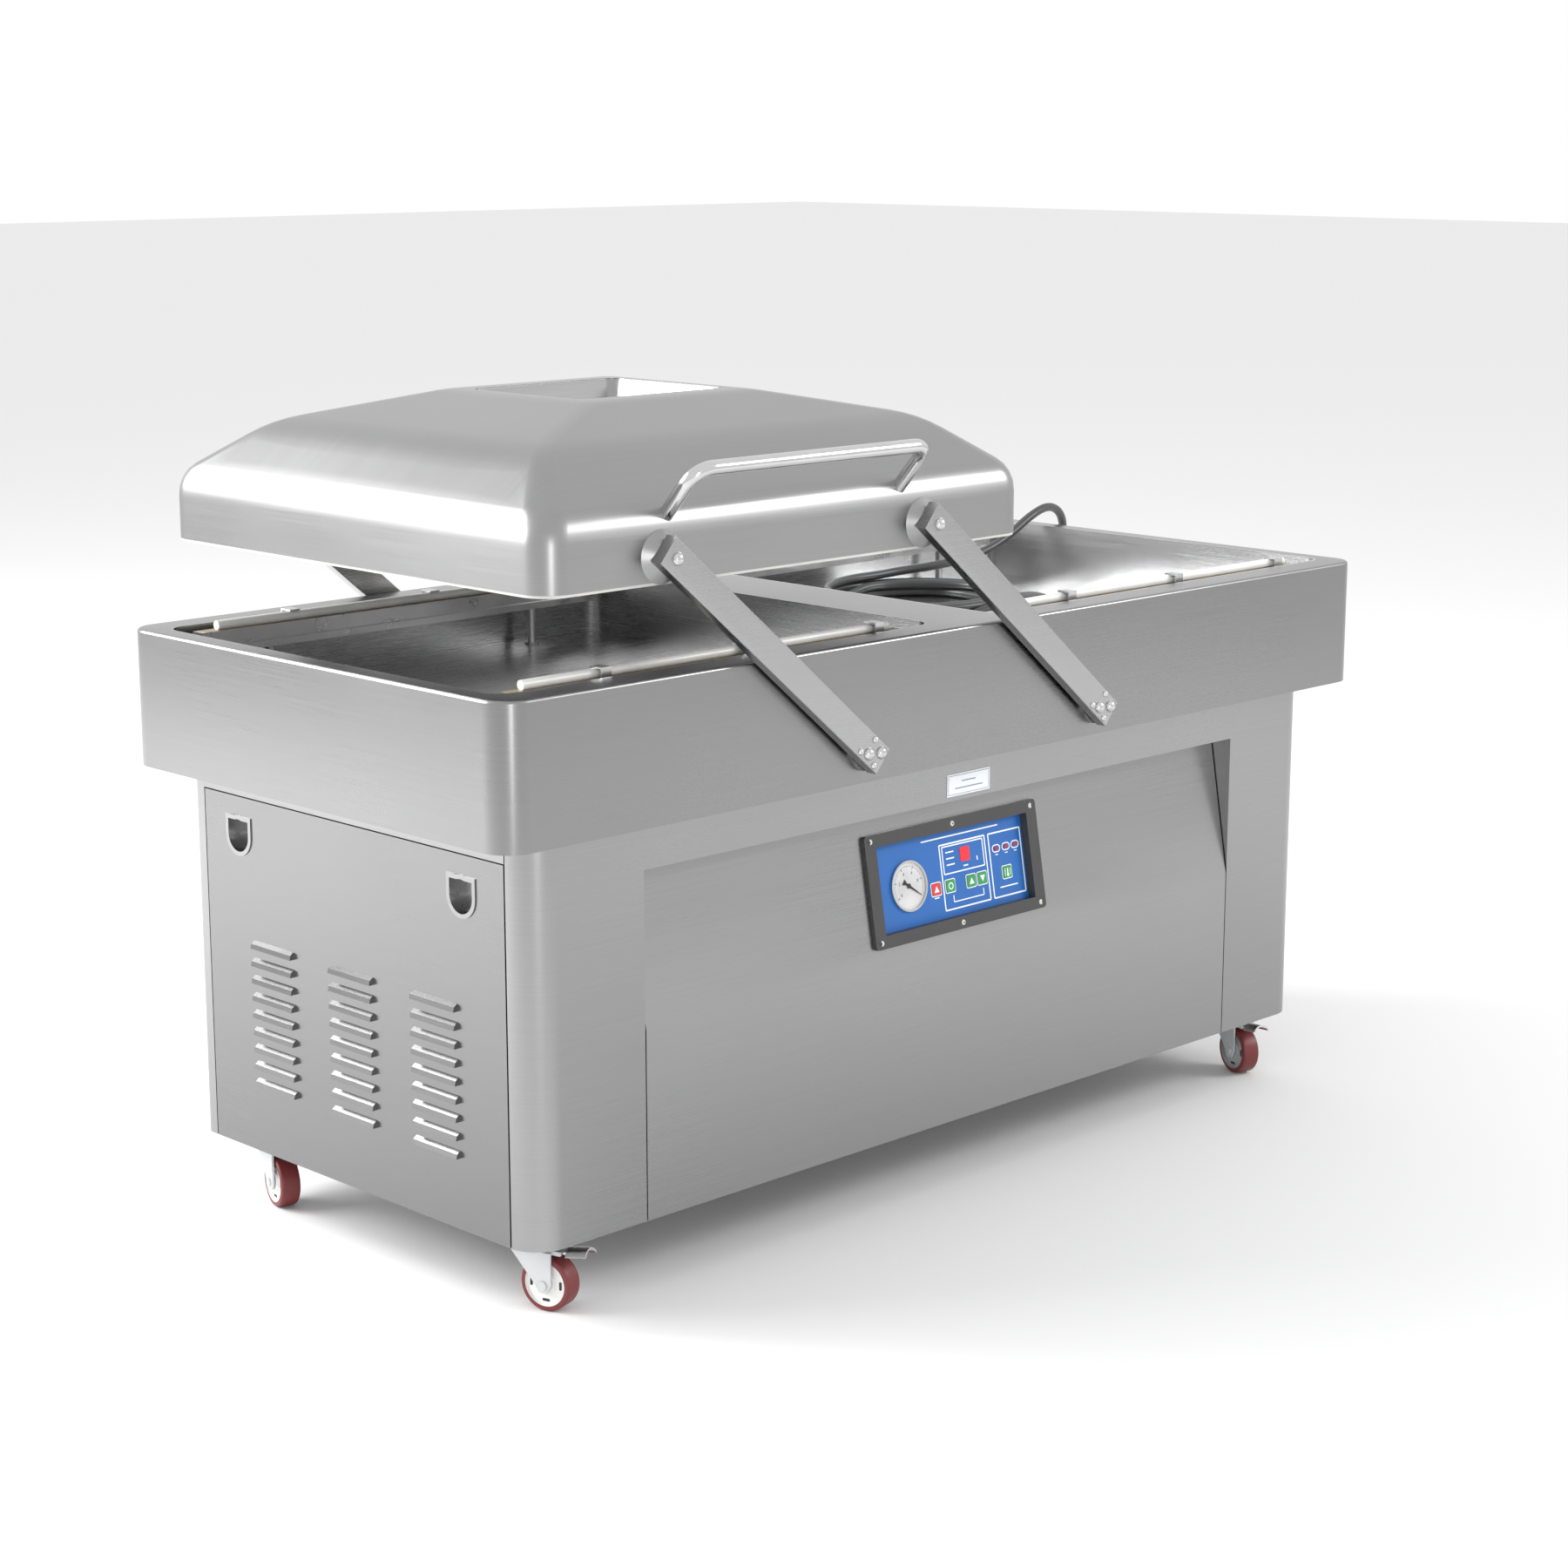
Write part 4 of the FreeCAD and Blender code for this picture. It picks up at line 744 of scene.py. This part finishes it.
def nameplate_rules():
    """A plain border and two rules on the plate above the panel, in place of its mark."""
    low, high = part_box("nameplate")
    out = Vector((0, -1, 0))
    y = low.y - 0.00002
    thick = 0.0001
    shape = Shape()

    def loop(inset):
        return [Vector((low.x + inset, y, low.z + inset)), Vector((high.x - inset, y, low.z + inset)),
                Vector((high.x - inset, y, high.z - inset)), Vector((low.x + inset, y, high.z - inset))]

    shape.band(loop(0.0016), loop(0.0024), out, thick)
    middle = (low.x + high.x) / 2
    for z, half in ((low.z + 0.008, 0.024), (low.z + 0.016, 0.012)):
        rule = [Vector((middle - half, y, z)), Vector((middle + half, y, z)),
                Vector((middle + half, y, z + 0.0016)), Vector((middle - half, y, z + 0.0016))]
        shape.slab(rule, out, thick)
    shape.build("nameplate_rules", mats["frame_line"], "base")


# ---------------------------------------------------------------- chambers and casters
def seal_bar_details():
    """Brown tape over each heating strip, and brass heads on the rod clips' screws."""
    clips = (-0.166, 0.042, 0.250)
    bar_top = 0.013
    bar_inset = 0.010
    end_gap = 0.006
    tape_half = 0.0085
    for side in ("left", "right"):
        tape = Shape()
        brass = Shape()
        pan_low, pan_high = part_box("chamber_pan_" + side)
        middle_x = (pan_low.x + pan_high.x) / 2
        for end, facing in (("front", -1), ("rear", 1)):
            low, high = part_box("seal_bar_%s_%s" % (end, side))
            top = high.z - bar_top
            bar_y = high.y - bar_inset if facing < 0 else low.y + bar_inset
            half = (high.x - low.x) / 2 - end_gap
            corners = [(-half, -tape_half), (half, -tape_half), (half, tape_half), (-half, tape_half)]
            tape.slab([Vector((middle_x + x, bar_y + y, top)) for x, y in corners], UP, 0.0003)
            for clip in clips:
                place = Vector((middle_x + clip, bar_y + facing * 0.012, top - 0.006))
                domed_head(brass, place, Vector((0, facing, 0)), 0.0043, 0.0023, 16)
        tape.build("seal_tape_" + side, mats["tape"], "seal_bars_" + side)
        brass.build("clip_screws_" + side, mats["brass"], "seal_bars_" + side)


def arm_bolts():
    """Polished dome heads over the bolts at each arm's foot and over its pin in the lid."""
    arm = Vector(joints["lid_pivot"]["pos_m"]) - Vector(joints["lid_swing"]["pos_m"])
    along = arm.normalized()
    across = Vector((along.z, 0, -along.x))
    pin_head = (0.0074, 0.0056)
    screw_head = (0.0042, 0.0032)
    head_depth = 0.004
    pins = [(-0.0059, 0.0081), (0.0059, -0.0081)]
    screws = [(-0.012, -0.007), (-0.011, 0.021), (0.012, 0.010)]
    for side in ("left", "right"):
        centre = Vector(joints["right_arms_swing" if side == "right" else "lid_swing"]["pos_m"])
        shape = Shape()
        for end, facing in (("front", -1), ("rear", 1)):
            low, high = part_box("arm_%s_%s" % (end, side))
            out = Vector((0, facing, 0))
            face = low.y + head_depth if facing < 0 else high.y - head_depth
            foot = Vector((centre.x, face, centre.z))
            for x, up in pins:
                domed_head(shape, foot + across * x + along * up, out, *pin_head)
            for x, up in screws:
                domed_head(shape, foot + across * x + along * up, out, *screw_head)
            domed_head(shape, foot + arm, out, *pin_head)
        shape.build("arm_bolts_" + side, mats["bright"], "arms_" + side)


def wheel_slot_shade():
    """Four black oblong slabs on each hub face: painted shade standing in for the dark inside of the
    hub's slots.
    """
    hub_face = 0.0091
    slot_reach = 0.0185
    slot_radius = 0.0016
    slot_half = 0.0032
    points = 16
    for corner in ("front_left", "front_right", "rear_left", "rear_right"):
        roll = joints["roll_" + corner]
        axle = Vector(roll["axis"]).normalized()
        middle = Vector(roll["pos_m"])
        around = axle.cross(UP)
        shape = Shape()
        for face in (-1, 1):
            for turn in range(4):
                angle = math.pi / 2 * turn
                spoke = around * math.cos(angle) + UP * math.sin(angle)
                across = UP * math.cos(angle) - around * math.sin(angle)
                centre = middle + axle * face * hub_face + spoke * slot_reach
                loop = []
                for step in range(points):
                    bend = 2 * math.pi * step / points
                    stretch = slot_half if math.sin(bend) >= 0 else -slot_half
                    loop.append(centre + spoke * slot_radius * math.cos(bend)
                                + across * (slot_radius * math.sin(bend) + stretch))
                shape.slab(loop, axle * face, 0.0004)
        shape.build("hub_slot_shade_" + corner, mats["black"], "wheel_" + corner)


make_camera()
mats = make_materials()
make_studio()
dress_cad_nodes()
make_cord()
panel_print()
button_marks()
dial_marks()
bezel_screws()
nameplate_rules()
seal_bar_details()
arm_bolts()
wheel_slot_shade()
